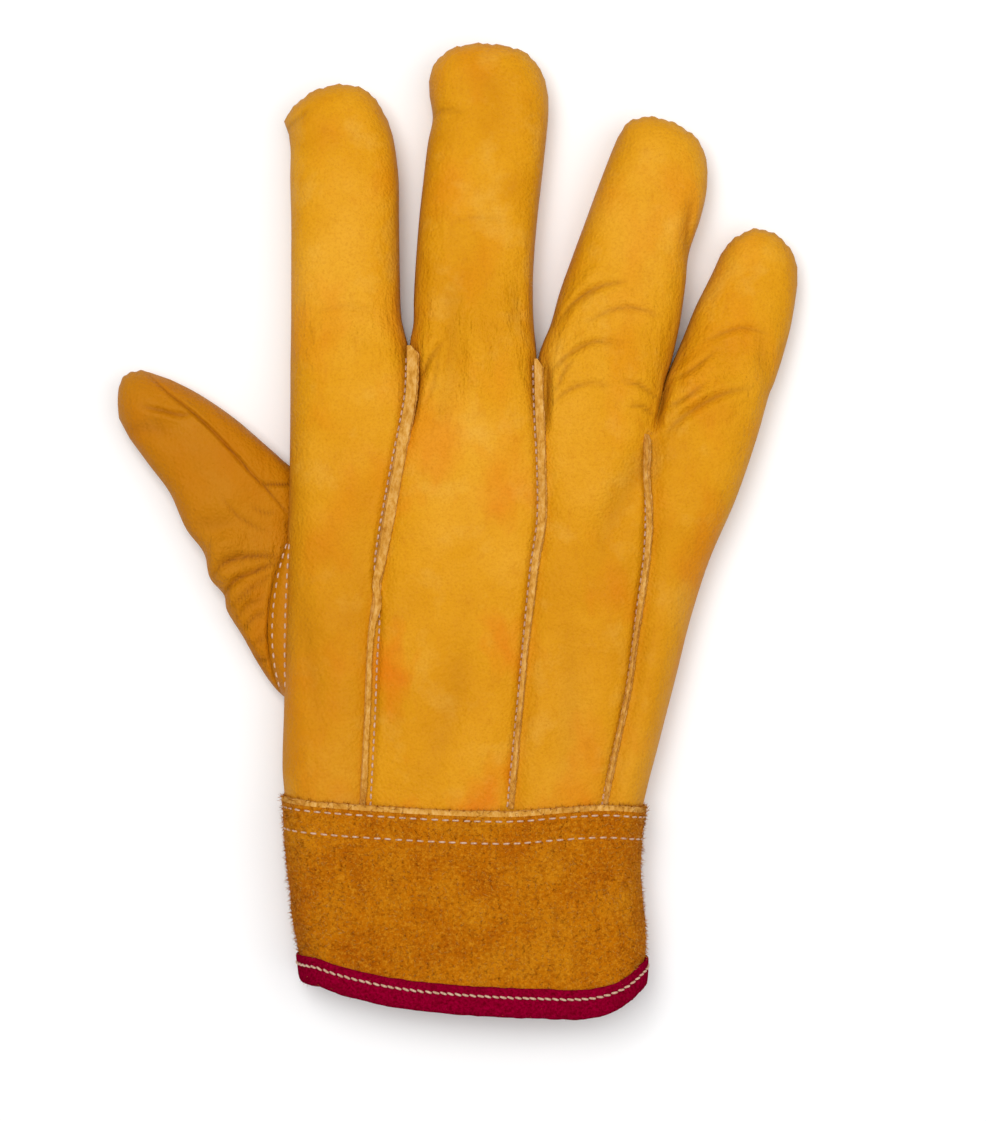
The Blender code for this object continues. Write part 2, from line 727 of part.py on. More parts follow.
def add_cuff(collection, hand):
    frame = Matrix.Translation((0.0, WRIST_Y, WRIST_HEIGHT))
    cuff = add_pivot(collection, "wrist_joint", frame, hand)
    palm_end = seen_from_below(palm_rows(wrist_row, even(WRIST_ROWS)))
    add_sheet(collection, "palm_wrist_end", palm_end, LEATHER, GRAIN, cuff)
    for index, finger in enumerate(FINGERS):
        rows = back_rows(index, wrist_row, even(WRIST_ROWS))
        add_sheet(collection, f"{finger.name}_strip_wrist_end", rows, LEATHER, GRAIN, cuff)
    add_sheet(collection, "cuff_band", cuff_rows(), SUEDE, NAP, cuff)
    tape = loft_mesh("binding_tape", tape_rows(), closed_rows=True, closed_ends=True)
    add_piece(collection, "binding_tape", tape, BURGUNDY, cuff)
    lift = LAY_GAP + THREAD_RADIUS
    for name, depth in zip(("upper", "lower"), CUFF_STITCH_ROWS):
        row = cuff_ring(depth, lift)
        add_thread(collection, f"cuff_{name}_stitches", row, cuff, cyclic=True)
    row = cuff_ring(CUFF_LENGTH - TAPE_STITCH_DEPTH, LAY_GAP + TAPE + lift)
    add_thread(collection, "binding_stitches", row, cuff, cyclic=True)


def main():
    for obj in list(bpy.data.objects):
        bpy.data.objects.remove(obj, do_unlink=True)
    collection = new_collection("work_glove")
    hand = add_pivot(collection, "hand", Matrix.Identity(4))
    add_hand(collection, hand)
    for index in range(len(FINGERS)):
        add_finger(collection, index, hand)
    add_thumb(collection, hand)
    add_cuff(collection, hand)


main()
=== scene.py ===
"""Looks of the leather work glove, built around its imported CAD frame.

Shapes are written in millimetres and scaled to metres when a mesh is made. Every leather panel is
one surface with real thickness, cut into pieces only where no joint bends it.
"""

import json
import math
import random
from collections import namedtuple

import bpy
import numpy as np
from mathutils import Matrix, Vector, noise
from mathutils.bvhtree import BVHTree


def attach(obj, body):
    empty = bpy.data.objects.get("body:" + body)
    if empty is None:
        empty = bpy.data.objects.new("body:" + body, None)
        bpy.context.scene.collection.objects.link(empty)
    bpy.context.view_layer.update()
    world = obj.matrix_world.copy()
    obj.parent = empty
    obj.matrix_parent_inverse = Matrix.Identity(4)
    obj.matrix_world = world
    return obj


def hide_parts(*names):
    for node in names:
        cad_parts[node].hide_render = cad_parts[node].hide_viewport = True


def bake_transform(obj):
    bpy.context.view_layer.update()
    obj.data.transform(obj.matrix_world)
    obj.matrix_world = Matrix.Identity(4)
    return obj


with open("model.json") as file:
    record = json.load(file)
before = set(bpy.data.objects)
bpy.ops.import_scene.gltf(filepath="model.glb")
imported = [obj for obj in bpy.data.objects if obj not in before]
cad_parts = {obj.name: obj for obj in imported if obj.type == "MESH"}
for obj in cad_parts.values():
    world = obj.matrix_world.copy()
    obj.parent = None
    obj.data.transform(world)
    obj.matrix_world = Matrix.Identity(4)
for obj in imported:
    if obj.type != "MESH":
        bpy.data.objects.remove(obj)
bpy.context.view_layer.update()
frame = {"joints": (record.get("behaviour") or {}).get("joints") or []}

MM = 0.001

# ---------------------------------------------------------------- sizes in millimetres

LEATHER = 1.3
SUEDE = 1.6
Thread = namedtuple("Thread", "radius length pitch slant")
STITCH_SIDES = 6
# How far along a stitch each of its rings lies, and how thick it is there
STITCH_RINGS = ((0.0, 0.35), (0.1, 0.8), (0.35, 1.0), (0.65, 1.0), (0.9, 0.8), (1.0, 0.35))
CUFF_THREAD = Thread(0.27, 1.9, 3.0, 0.0)
BINDING_THREAD = Thread(0.33, 1.9, 2.1, 0.22)
SEAM_THREAD = Thread(0.3, 1.5, 2.2, 0.0)
GUSSET_THREAD = Thread(0.27, 1.6, 2.7, 0.0)

HAND_START, HAND_END = -57.0, 70.0  # y of the hand's rows, from inside the cuff to the crotches
WRIST_ZONE = (-44.0, -16.0)  # y where the leather bends at the wrist
PALM_CUT = 20.0  # y where the strips and the palm are cut between the wrist and the knuckles
ROW_STEP = 0.95
COLUMNS = 46
THUMB_STEP, THUMB_COLUMNS = 0.62, 72
SEAM_SAMPLES = 200  # points read along a curved seam
CAP_ROWS = 14  # rows between a digit's last station and its tip seam
CORNER_POWER = 2.3  # 2 makes rounded sides elliptic, more makes them boxy
SIDE_CORNER = 11.5
TIP_CORNER = 12.0
# Start in y and length of each gradual change along the glove
ROUNDING = (52.0, 30.0)  # the strips' inner sides turn into the rounded sides of fingers
CROWN_FADE = (60.0, 45.0)
PUFF_FADE = (60.0, 40.0)
TONE_FADE = (-20.0, 110.0)
THUMB_WRINKLE_FADE = (24.0, 20.0)
WELT_WIDENING = (-10.0, 55.0)
SEAM_VALLEY = 0.13  # share of the height that the leather dips at a back seam
SEAM_VALLEY_WIDTH = 3.2

# x of the lines between the four back strips: pairs of y and x, from the thumb side
EDGES = (
    ((-57, -48.7), (-46, -49.4), (-36, -50.2), (-20, -49.9), (20, -49.1), (50, -48.3), (70, -48.1),
     (80, -48.1)),
    ((-57, -26.6), (-46, -26.1), (-20, -24.8), (0, -23.9), (26, -21.0), (51, -16.6), (62, -14.4),
     (70, -13.1), (78, -12.8)),
    ((-57, 14.4), (-46, 15.3), (-17, 18.1), (20, 21.6), (34, 23.6), (49, 23.6), (60, 23.0),
     (70, 22.6), (78, 22.5)),
    ((-57, 40.8), (-46, 41.9), (-14, 48.8), (9, 51.9), (26, 54.0), (52, 54.7), (62, 56.2),
     (70, 58.1), (77, 59.8)),
    ((-57, 51.6), (-46, 52.9), (-29, 57.3), (-11, 62.0), (6, 66.3), (23, 71.8), (40, 79.2),
     (57, 85.1), (70, 88.8), (80, 92.0)),
)
# lowest and highest z of the hand, as triples of y, low and high
HAND_HEIGHTS = (
    (-57, 5.0, 23.6), (-46, 4.9, 23.8), (-38, 4.0, 23.9), (-28, 1.2, 23.8), (-14, 0.3, 23.4),
    (20, 0.2, 22.8), (50, 0.2, 22.6), (70, 0.2, 22.4),
)
HAND_CROWN, STRIP_PUFF, THUMB_PUFF = 2.2, 1.1, 0.8  # how far the backs bulge

Station = namedtuple("Station", "left right low high")
Digit = namedtuple("Digit", "name stations tip")


def stations(*rows):
    return tuple(Station(row[0:2], row[2:4], row[4], row[5]) for row in rows)


# Each finger beyond the hand: its left and right edge, lowest and highest z, and its tip seam
DIGITS = (
    Digit("index", stations(
        (-48.1, 77.5, -13.0, 76.8, 0.2, 22.4), (-48.0, 84.5, -14.4, 84.0, 0.2, 22.4),
        (-47.9, 92.0, -16.3, 92.0, 0.2, 22.2), (-47.9, 105, -16.8, 105, 0.2, 22.0),
        (-47.9, 120, -17.0, 120, 0.2, 21.6), (-48.2, 132, -17.1, 131, 0.2, 21.2),
        (-48.1, 140, -17.9, 139, 0.3, 20.8), (-48.6, 144.6, -18.8, 144.2, 0.4, 20.4),
    ), ((-50.0, 148.4), (-48.2, 151.3), (-45.1, 154.4), (-41.3, 157.0), (-36.5, 158.5),
        (-31.8, 158.8), (-27.6, 157.7), (-24.5, 155.6), (-22.2, 152.2), (-20.2, 148.6))),
    Digit("middle", stations(
        (-13.0, 77.4, 22.4, 76.2, 0.2, 22.6), (-13.9, 84.2, 22.3, 82.0, 0.2, 22.8),
        (-12.9, 90.5, 21.6, 89.0, 0.2, 22.8), (-12.8, 97.5, 21.3, 96.5, 0.2, 22.6),
        (-12.3, 107, 21.4, 106, 0.2, 22.5), (-11.3, 120, 22.4, 119, 0.2, 22.5),
        (-10.0, 132, 23.8, 131.5, 0.2, 22.3), (-8.7, 142.5, 25.0, 142.5, 0.2, 22.0),
        (-7.4, 149.3, 25.7, 150.0, 0.3, 21.6), (-8.3, 155.6, 25.7, 155.4, 0.4, 21.2),
    ), ((-8.5, 159.8), (-7.3, 163.9), (-4.2, 167.6), (0.2, 169.7), (6.5, 170.5), (13.1, 169.8),
        (18.2, 168.4), (22.2, 165.0), (24.8, 160.2))),
    Digit("ring", stations(
        (22.5, 77.8, 59.3, 74.6, 0.2, 22.4), (23.5, 83.2, 60.6, 78.5, 0.2, 22.4),
        (26.4, 90.4, 61.9, 83.8, 0.2, 22.4), (28.8, 99.0, 63.4, 91.0, 0.2, 22.2),
        (32.7, 110, 64.9, 101.5, 0.2, 22.0), (36.4, 120, 65.9, 110.5, 0.2, 21.8),
        (39.7, 129, 69.2, 120.5, 0.2, 21.5), (42.1, 135.3, 70.9, 127.8, 0.2, 21.2),
        (44.0, 140.2, 71.3, 133.8, 0.3, 20.8),
    ), ((45.5, 143.7), (48.4, 147.9), (52.6, 149.5), (57.0, 149.3), (61.0, 148.1), (64.5, 146.3),
        (67.6, 144.0), (69.6, 141.2), (71.0, 137.4))),
    Digit("little", stations(
        (59.4, 75.0, 90.2, 73.2, 0.2, 21.4), (61.9, 80.9, 91.6, 77.2, 0.2, 20.6),
        (64.5, 87.0, 93.0, 81.6, 0.2, 19.8), (67.8, 95.2, 95.0, 89.0, 0.2, 19.3),
        (71.2, 102, 96.3, 96.0, 0.2, 19.0), (73.3, 106.3, 97.1, 101.6, 0.3, 18.6),
    ), ((75.1, 110.4), (77.3, 113.4), (80.3, 115.9), (84.5, 117.6), (89.0, 117.0), (92.6, 114.7),
        (95.4, 111.4), (97.1, 106.8))),
)

THUMB = Digit("thumb", stations(
    (-46.5, -19.5, -44.0, 47.0, 0.3, 11.0), (-52.6, -14.2, -47.2, 48.8, 0.3, 12.6),
    (-57.6, -7.0, -49.2, 50.4, 0.3, 14.0), (-61.8, 0.6, -51.0, 51.9, 0.2, 15.2),
    (-66.4, 8.2, -52.6, 53.4, 0.2, 16.0), (-67.2, 12.6, -54.2, 54.8, 0.2, 16.6),
    (-71.2, 17.5, -56.0, 56.4, 0.2, 17.4), (-72.8, 24.5, -58.8, 58.9, 0.2, 18.0),
    (-78.0, 31.6, -63.4, 62.8, 0.2, 18.0), (-82.6, 41.8, -69.0, 66.9, 0.2, 18.0),
    (-88.5, 49.8, -75.8, 71.2, 0.2, 17.8), (-94.2, 57.5, -82.6, 74.6, 0.3, 17.2),
), ((-97.4, 63.4), (-97.7, 68.0), (-97.3, 72.6), (-95.9, 75.4), (-93.6, 76.9), (-91.0, 77.2),
    (-87.8, 76.4)))
THUMB_CUT_STATION = 7  # the row where the thumb's base and tip meet
THUMB_CORNER = 8.5

# Creases: half width, depth, and the line they follow. A negative depth is a ridge.
CREASES = (
    (1.1, 1.1, ((-11.0, 73.0), (-8.2, 79.0), (-4.0, 84.5))),
    (0.9, 0.5, ((-10.0, 66.0), (-7.4, 70.5), (-6.0, 77.0), (-5.4, 84.0))),
    (3.6, 1.2, ((-6.5, 62.0), (-2.5, 74.0), (-1.8, 90.0), (-1.4, 100.0))),
    (3.0, -0.8, ((4.0, 66.0), (5.0, 80.0), (6.0, 97.0))),
    (2.6, 0.9, ((17.0, 84.0), (16.2, 94.0), (15.6, 104.0))),
    (1.0, 1.0, ((25.4, 75.5), (31.8, 81.2), (38.5, 84.4), (46.0, 84.0))),
    (1.0, 1.3, ((28.0, 89.5), (33.0, 95.8), (40.0, 100.0), (47.0, 101.5))),
    (1.8, -0.8, ((28.5, 93.0), (34.2, 100.4), (42.0, 107.0))),
    (1.0, 0.9, ((37.0, 90.5), (44.0, 93.6), (50.0, 94.0), (57.0, 91.5))),
    (0.9, 0.8, ((27.5, 70.0), (30.0, 76.0), (32.6, 79.0))),
    (0.9, 0.8, ((26.0, 66.0), (30.0, 70.0), (36.0, 72.5), (43.0, 72.0))),
    (0.9, 0.9, ((46.3, 73.3), (51.5, 72.0), (57.2, 67.8))),
    (0.9, 0.8, ((48.0, 66.5), (52.0, 66.0), (56.4, 63.0))),
    (4.2, 1.9, ((56.0, 60.0), (51.5, 49.0), (44.0, 36.0), (39.0, 24.0))),
    (1.5, 1.4, ((64.4, 107.0), (65.0, 116.0), (66.4, 125.5))),
    (2.0, -0.9, ((67.2, 112.0), (68.0, 119.0), (69.0, 125.0))),
    (1.3, 1.3, ((57.6, 57.5), (64.0, 63.6), (74.5, 69.6), (83.0, 71.5))),
    (0.9, 0.9, ((58.6, 66.0), (64.0, 68.5), (70.0, 73.0))),
    (0.9, 0.8, ((60.5, 74.0), (66.0, 76.5), (73.0, 82.0))),
    (1.0, 0.8, ((70.0, 85.0), (80.0, 88.5), (88.0, 87.0))),
    (2.4, 0.9, ((88.0, 69.5), (86.5, 78.0), (85.0, 88.0))),
    (1.3, 0.8, ((-8.6, 149.3), (-4.5, 150.4), (1.5, 149.4))),
    (1.2, 0.8, ((-50.5, 145.0), (-46.5, 147.6), (-42.5, 150.5))),
    (5.0, 1.0, ((-8.0, -38.0), (-2.0, -20.0), (2.0, 2.0))),
    (5.0, 1.0, ((30.0, -40.0), (31.5, -20.0), (32.0, 6.0))),
    (3.6, 0.9, ((-44.5, 14.0), (-42.0, -4.0), (-38.5, -26.0))),
    (4.5, 0.8, ((62.0, 4.0), (66.0, 22.0), (71.0, 38.0))),
    (1.2, 0.35, ((-40.0, 93.0), (-32.0, 94.5), (-24.0, 93.0))),
    (1.2, 0.35, ((-2.0, 118.0), (6.0, 119.6), (15.0, 118.0))),
)
THUMB_SEAM = ((-88.4, 75.8), (-85.4, 73.0), (-82.3, 70.2), (-76.2, 65.4), (-71.8, 61.5),
              (-67.4, 57.1), (-63.1, 52.3), (-58.7, 47.4), (-54.9, 43.4), (-51.7, 39.8),
              (-49.0, 36.2), (-46.5, 34.0))
THUMB_CROSS_SEAM = ((-56.1, 44.5), (-51.5, 44.3), (-46.0, 44.6))
GUSSET_SEAM = ((-47.6, 30.5), (-50.4, 24.1), (-52.6, 17.0), (-53.9, 9.6), (-54.4, 3.0),
               (-54.0, -3.4), (-52.9, -9.4), (-50.7, -16.0))
THUMB_CREASES = (
    (0.5, 1.1, THUMB_SEAM),
    (0.5, 1.2, THUMB_CROSS_SEAM),
    (0.5, 1.1, GUSSET_SEAM),
    (0.8, 1.2, ((-50.0, 23.8), (-56.9, 24.0), (-63.0, 23.4), (-67.4, 21.4), (-70.4, 17.6))),
    (0.7, 1.3, ((-51.0, 22.6), (-57.1, 20.0), (-63.4, 17.2), (-67.8, 12.2))),
    (0.6, 0.6, ((-53.0, 18.4), (-58.0, 15.6), (-62.0, 11.8), (-66.0, 8.8))),
    (0.6, 0.6, ((-54.6, 8.0), (-58.0, 6.6), (-62.0, 2.6))),
    (0.6, 0.5, ((-54.2, 2.0), (-57.0, -0.4), (-59.6, -2.0))),
    (0.6, 0.5, ((-55.0, 12.6), (-59.6, 10.4), (-64.0, 5.0))),
    (0.7, 0.5, ((-54.0, 31.0), (-58.0, 32.4), (-63.0, 35.8), (-67.0, 40.4))),
    (0.6, 0.5, ((-51.4, 36.6), (-55.0, 36.2), (-59.0, 38.0))),
    (2.6, -1.2, ((-60.0, 27.5), (-66.0, 27.5), (-71.0, 23.0))),
    (2.4, -1.1, ((-58.0, 14.0), (-62.0, 13.0), (-66.0, 8.0))),
    (1.7, -0.9, ((-61.0, 20.8), (-66.0, 18.6), (-70.0, 15.5))),
    (0.9, 0.9, ((-74.8, 65.0), (-78.4, 64.0), (-84.0, 65.2), (-90.4, 66.6))),
    (2.6, 1.0, ((-82.0, 58.5), (-87.0, 60.5), (-93.0, 60.0), (-95.5, 60.5))),
    (3.2, 0.9, ((-64.0, 34.0), (-71.0, 33.0), (-76.0, 33.5))),
    (1.2, 1.0, ((-53.8, -4.6), (-56.4, -6.0), (-59.0, -4.6))),
    (1.6, -0.6, ((-56.0, -1.0), (-59.0, -0.6), (-61.0, 1.4))),
    (2.0, 1.8, ((-49.4, 33.6), (-47.0, 32.0), (-48.4, 30.0))),
)

GUSSET_ENDS = (-16.0, 30.0)  # y of the gusset's two ends
GUSSET_ROWS, GUSSET_COLUMNS = 48, 12
GUSSET_LIFT, GUSSET_PUFF = 0.5, 0.9  # mm above the thumb, and how far its middle bulges
GUSSET_LOW_Z, GUSSET_HIGH_Z = 12.0, 16.6  # z beside the thumb where none is below, and at the hand
GUSSET_STITCHES = (("outer", 0.24), ("inner", 0.86))  # how far across from the thumb's side

# Each back seam: its edge, the nodes that it stands for, the y of its top end, its shift in x,
# the breadth of its allowance at the top and at the cuff, and how far right its stitches lie there
Seam = namedtuple("Seam", "edge name top shift broad narrow stitch_low")
SEAMS = (
    Seam(1, "index_middle", 83.5, -0.4, 1.2, 0.55, 1.9),
    Seam(2, "middle_ring", 81.5, 0.3, 0.9, 0.55, -1.7),
    Seam(3, "ring_little", 58.5, 0.2, 0.68, 0.52, -1.6),
)
SEAM_LOW_Y = -47.2
STITCH_OFFSET = -1.7
STITCHES_END_SHORT = 3.0  # mm of each seam's top without stitches
STITCH_CROSSING = (2.0, 24.0)  # y between which stitches cross over to the other side
CROTCH_RISE = 1.6  # mm that the allowances rise between the fingers
BRIDGE_LENGTH, BRIDGE_SAG = 30.0, 4.0  # mm over which an allowance nears a crotch, and its sag
# The deep folds beside the allowances at the crotches, as creases
CROTCH_GROOVES = (
    (0.9, 1.8, ((-12.6, 84.0), (-11.6, 76.0), (-12.0, 68.0), (-13.0, 61.0))),
    (0.9, 1.8, ((24.6, 81.0), (25.4, 74.0), (25.2, 67.0), (24.8, 59.0))),
    (0.9, 1.6, ((60.2, 74.0), (58.0, 67.0), (56.4, 60.0))),
)
# Each layer of a seam allowance: its left and right side, height, slope and thickness
WELT_PLIES = ((-1.3, 1.45, -0.1, 0.35, 0.85), (-1.15, 1.15, 0.8, 0.4, 0.8))

# Cuff: outline as y, left x and right x, and the y of its edges at each x
CUFF_OUTLINE = (
    (-44.0, -50.5, 54.0), (-57.0, -49.5, 52.4), (-68.0, -48.4, 51.9), (-80.0, -47.0, 53.2),
    (-92.0, -44.7, 53.1), (-108.0, -43.2, 52.0),
)
CUFF_TOP = ((-51, -44.4), (-30, -46.0), (-5, -47.4), (15, -47.9), (30, -46.8), (43, -46.3),
            (54, -47.6))
CUFF_BOTTOM = ((-45, -96.4), (-36, -99.0), (-21, -102.0), (0, -103.9), (20, -104.9), (37, -105.0),
               (46, -102.4), (53, -97.4))
CUFF_MIDDLE_Z = 14.9
CUFF_HALF_HEIGHT = 12.2
CUFF_CORNER = 11.8
CUFF_TURNS, CUFF_ROWS = 168, 44
EDGE_TURNS = 240  # points around the cuff of its tape and its stitch rows
CUFF_STITCH_ROWS = (2.6, 8.8)
CUFF_SAG, CUFF_CROWN = 0.4, 2.2
Nap = namedtuple("Nap", "number longest radius lean")  # loose fibres
CUFF_NAP = Nap(12000, 1.7, 0.12, 2.2)
CUFF_EDGE_NAP = Nap(900, 1.3, 0.08, 0.7)
WELT_NAP = Nap(700, 1.0, 0.07, 1.2)
WELT_NAP_SIDES = (-0.9, -0.4, 0.1)  # mm from the seam's line
EDGE_NAP_WAY = (0.0, 0.8, 0.5)  # direction of the fibres at the cuff's top edge
CUT_ROUGHNESS = 0.14  # mm that the cuff's top edge wanders
CUFF_LIP = 0.35  # mm that the middle of the cut edge stands above its sides
RAW_EDGE_ROWS = 1  # rows of the cuff's faces that its pale cut edge covers
TAPE_DEPTH = 7.4
TAPE_THICKNESS = 0.9
TAPE_STITCH_DEPTH = 4.9
TAPE_PLAY = 0.1  # mm between the tape and the suede

# Layers of soft unevenness, each with its height, size and seed
STRIP_BACK_WAVES = ((0.55, 21.0, 1.0), (0.3, 9.0, 2.0))
STRIP_FRONT_WAVES = ((0.45, 16.0, 3.0),)
THUMB_BACK_WAVES = ((0.5, 14.0, 4.0), (0.35, 6.0, 5.0))
THUMB_FRONT_WAVES = ((0.4, 14.0, 6.0),)
CUFF_WAVES = ((1.0, 11.0, 8.0), (0.5, 4.0, 9.0))
CUFF_WOBBLE = 0.4
CUFF_LOWEST = 0.3

# How deep and how orange each strip's leather turns towards the cuff, from the index finger's
STRIP_COLOURS = ((0.45, 0.2), (0.15, 1.0), (0.25, 0.4), (0.35, 0.4))
# y of the middle of each strip's fine wrinkles and how far they reach from it
WRINKLED = ((88.0, 10.0), (86.0, 24.0), (84.0, 22.0), (74.0, 18.0))
# How far the thumb and its gusset take the deeper colour, as painted shade, and how orange their
# blotches turn
THUMB_PAINTED_SHADE, THUMB_WARMTH = 1.0, 0.3
LIGHT_LEVEL = 1.22  # how bright a white surface facing the lights looks
SEEDS = {"nap": 5, "welt": 11, "stitch": 23}

# Where the leather bends
JOINTS = {joint["name"]: joint for joint in frame["joints"]}
SEGMENTS = ("base", "mid", "tip")
CUT_MARGIN = 0.8  # mm between a cut and the bend beside it
KNUCKLE_REACH = 9.0  # mm before a knuckle where its bend starts
TIP_REACH = 7.0  # mm past an end joint that its bend runs on at the least
THUMB_BASE_BEND = ((-48.0, 20.0, 5.0), (-57.0, 20.0, 5.0))
THUMB_TIP_START, THUMB_TIP_LENGTH = -2.5, 15.0  # mm past the thumb's end joint

# Stage, in metres
FLOOR_HALF, FLOOR_Z = 3.0, -0.0002
FLOOR_WHITE = 0.93
AIM = (0.0, 0.02, 0.0)  # where the lights point
LIGHTS = (("key", (-0.20, 0.25, 1.2), 0.6, 9.5), ("fill", (0.45, 0.0, 1.1), 0.9, 5.0))
WORLD_STRENGTH = 0.36
LENS, SENSOR = 100.0, 36.0  # mm
CAMERA_PLACE = (0.00986, 0.0227, 0.902)


# ---------------------------------------------------------------- numbers and curves


def smooth(share):
    share = np.clip(share, 0.0, 1.0)
    return share * share * (3.0 - 2.0 * share)


def eased(values, start, length):
    """0 up to start and 1 from length further on, with a soft rise between."""
    return smooth((values - start) / length)


def lerp(a, b, share):
    return a + (b - a) * share


def through(knots, values, at):
    """A smooth curve through values given at rising knots, read at each number in at."""
    x = np.asarray(knots, float)
    p = np.asarray(values, float).reshape(len(x), -1)
    m = np.empty_like(p)
    m[1:-1] = (p[2:] - p[:-2]) / (x[2:] - x[:-2])[:, None]
    m[0] = (p[1] - p[0]) / (x[1] - x[0])
    m[-1] = (p[-1] - p[-2]) / (x[-1] - x[-2])
    at = np.clip(np.asarray(at, float), x[0], x[-1])
    k = np.clip(np.searchsorted(x, at, side="right") - 1, 0, len(x) - 2)
    h = (x[k + 1] - x[k])[:, None]
    f = (at - x[k])[:, None] / h
    return (
        (1 + 2 * f) * (1 - f) ** 2 * p[k] + f * (1 - f) ** 2 * h * m[k]
        + f * f * (3 - 2 * f) * p[k + 1] - f * f * (1 - f) * h * m[k + 1]
    )


def lengths_along(points):
    steps = np.linalg.norm(np.diff(points, axis=0), axis=1)
    return np.concatenate([[0.0], np.cumsum(steps)])


def evenly(points, count):
    """count points at even distances along a smooth curve through points."""
    points = np.asarray(points, float)
    fine = through(lengths_along(points), points, np.linspace(0, lengths_along(points)[-1], 400))
    along = lengths_along(fine)
    at = np.linspace(0, along[-1], count)
    return np.column_stack([np.interp(at, along, fine[:, k]) for k in range(fine.shape[1])])


def distance_to_line(points, line):
    """Distance in plan from each point to a smooth line, and where along it, from 0 to 1."""
    fine = evenly(line, 40)
    a, b = fine[:-1], fine[1:]
    best = np.full(len(points), 1e9)
    where = np.zeros(len(points))
    for k in range(len(a)):
        way = b[k] - a[k]
        share = np.clip(((points[:, :2] - a[k]) @ way) / (way @ way), 0.0, 1.0)
        gap = np.linalg.norm(points[:, :2] - a[k] - share[:, None] * way, axis=1)
        nearer = gap < best
        best[nearer] = gap[nearer]
        where[nearer] = (k + share[nearer]) / len(a)
    return best, where


def creasing(points, creases):
    """How far the creases lower each point, and how much shade is painted into their folds there."""
    drop = np.zeros(len(points))
    painted_crease_shade = np.zeros(len(points))
    for width, depth, line in creases:
        gap, where = distance_to_line(points, line)
        ends = np.sin(np.pi * np.clip(where, 0.03, 0.97)) ** 0.6
        core = np.exp(-((gap / width) ** 2)) * ends
        rim = np.exp(-(((gap - 1.9 * width) / width) ** 2)) * ends
        drop += depth * (core - 0.35 * rim)
        # only a crease that sinks gets painted shade, narrower than its groove
        if depth > 0:
            fold = np.exp(-((gap / (0.6 * width)) ** 2)) * ends
            painted_crease_shade = np.maximum(painted_crease_shade, fold * min(1.0, depth / (1.6 * width)))
    return drop, painted_crease_shade


def cloudy(points, size, seed=0.0):
    """Soft noise from -1 to 1 with features of about that size."""
    shift = Vector((seed * 7.3, seed * 3.1, seed * 5.7))
    return np.array([noise.noise(Vector(p) / size + shift) for p in points])


def waves(points, layers):
    """Soft unevenness in millimetres, from layers of a height, a size and a seed."""
    return sum(height * cloudy(points, size, seed) for height, size, seed in layers)


# ---------------------------------------------------------------- surfaces


def across_shares(count):
    even = np.linspace(0.0, 1.0, count)
    return lerp(even, 0.5 - 0.5 * np.cos(np.pi * even), 0.62)


def rounded(distance, corner):
    """Share of the height at a distance inward from a rounded side."""
    inset = np.clip(1.0 - distance / corner, 0.0, 1.0)
    return (1.0 - inset ** CORNER_POWER) ** (1.0 / CORNER_POWER)


def edge_at(edge, ys):
    knots = [pair[0] for pair in EDGES[edge]]
    return through(knots, [pair[1] for pair in EDGES[edge]], ys)[:, 0]


def hand_rows():
    """y of the hand's rows, with one exactly at the palm's cut."""
    lower = np.linspace(HAND_START, PALM_CUT, round((PALM_CUT - HAND_START) / ROW_STEP) + 1)
    upper = np.linspace(PALM_CUT, HAND_END, round((HAND_END - PALM_CUT) / ROW_STEP) + 1)
    return np.concatenate([lower, upper[1:]])


def strip_rows(index):
    """Left and right edge, low and high of each straight row of a strip."""
    ys = hand_rows()
    left, right = edge_at(index, ys), edge_at(index + 1, ys)
    heights = through(*split(HAND_HEIGHTS), ys)
    hand = np.column_stack([left, ys, right, ys, heights])
    digit = DIGITS[index]
    anchor_ys = np.array([HAND_END - 12.0, HAND_END])
    anchors = np.column_stack([
        edge_at(index, anchor_ys), anchor_ys, edge_at(index + 1, anchor_ys), anchor_ys,
        through(*split(HAND_HEIGHTS), anchor_ys),
    ])
    rows = np.vstack([anchors, [[*s.left, *s.right, s.low, s.high] for s in digit.stations]])
    knots = lengths_along((rows[:, 0:2] + rows[:, 2:4]) / 2)
    count = round((knots[-1] - knots[1]) / ROW_STEP)
    finger = through(knots, rows, np.linspace(knots[1], knots[-1], count + 1))[1:]
    return np.vstack([hand, finger])


def split(triples):
    return [t[0] for t in triples], [t[1:] for t in triples]


def grid_over(rows, tip, columns):
    """Plan positions of a grid over straight rows and a tip that ends in a curved seam."""
    shares = across_shares(columns)[None, :, None]
    straight = lerp(rows[:, None, 0:2], rows[:, None, 2:4], shares)
    low = np.repeat(rows[:, 4:5], columns, axis=1)
    high = np.repeat(rows[:, 5:6], columns, axis=1)
    seam = evenly(tip, SEAM_SAMPLES)
    counter = np.arange(SEAM_SAMPLES)
    ends = np.interp(across_shares(columns), np.linspace(0, 1, SEAM_SAMPLES), counter)
    seam = np.column_stack([np.interp(ends, counter, seam[:, k]) for k in range(2)])
    steps = np.sin(np.linspace(0, math.pi / 2, CAP_ROWS + 1))[1:]
    cap = straight[-1][None] + (seam - straight[-1])[None] * steps[:, None, None]
    plan = np.vstack([straight, cap])
    low = np.vstack([low, np.repeat(low[-1:], CAP_ROWS, axis=0)])
    high = np.vstack([high, np.repeat(high[-1:], CAP_ROWS, axis=0)])
    return plan, low, high


def left_to_tip(plan):
    """Distance from each point of a grid along its column to the tip seam."""
    steps = np.linalg.norm(np.diff(plan, axis=0), axis=2)
    remaining = np.cumsum(steps[::-1], axis=0)[::-1]
    return np.vstack([remaining, np.zeros((1, plan.shape[1]))])


def side_rise(distance, roundness, corner, valley):
    dip = 1.0 - valley * np.exp(-((distance / SEAM_VALLEY_WIDTH) ** 2))
    return lerp(dip, rounded(distance, corner), roundness)


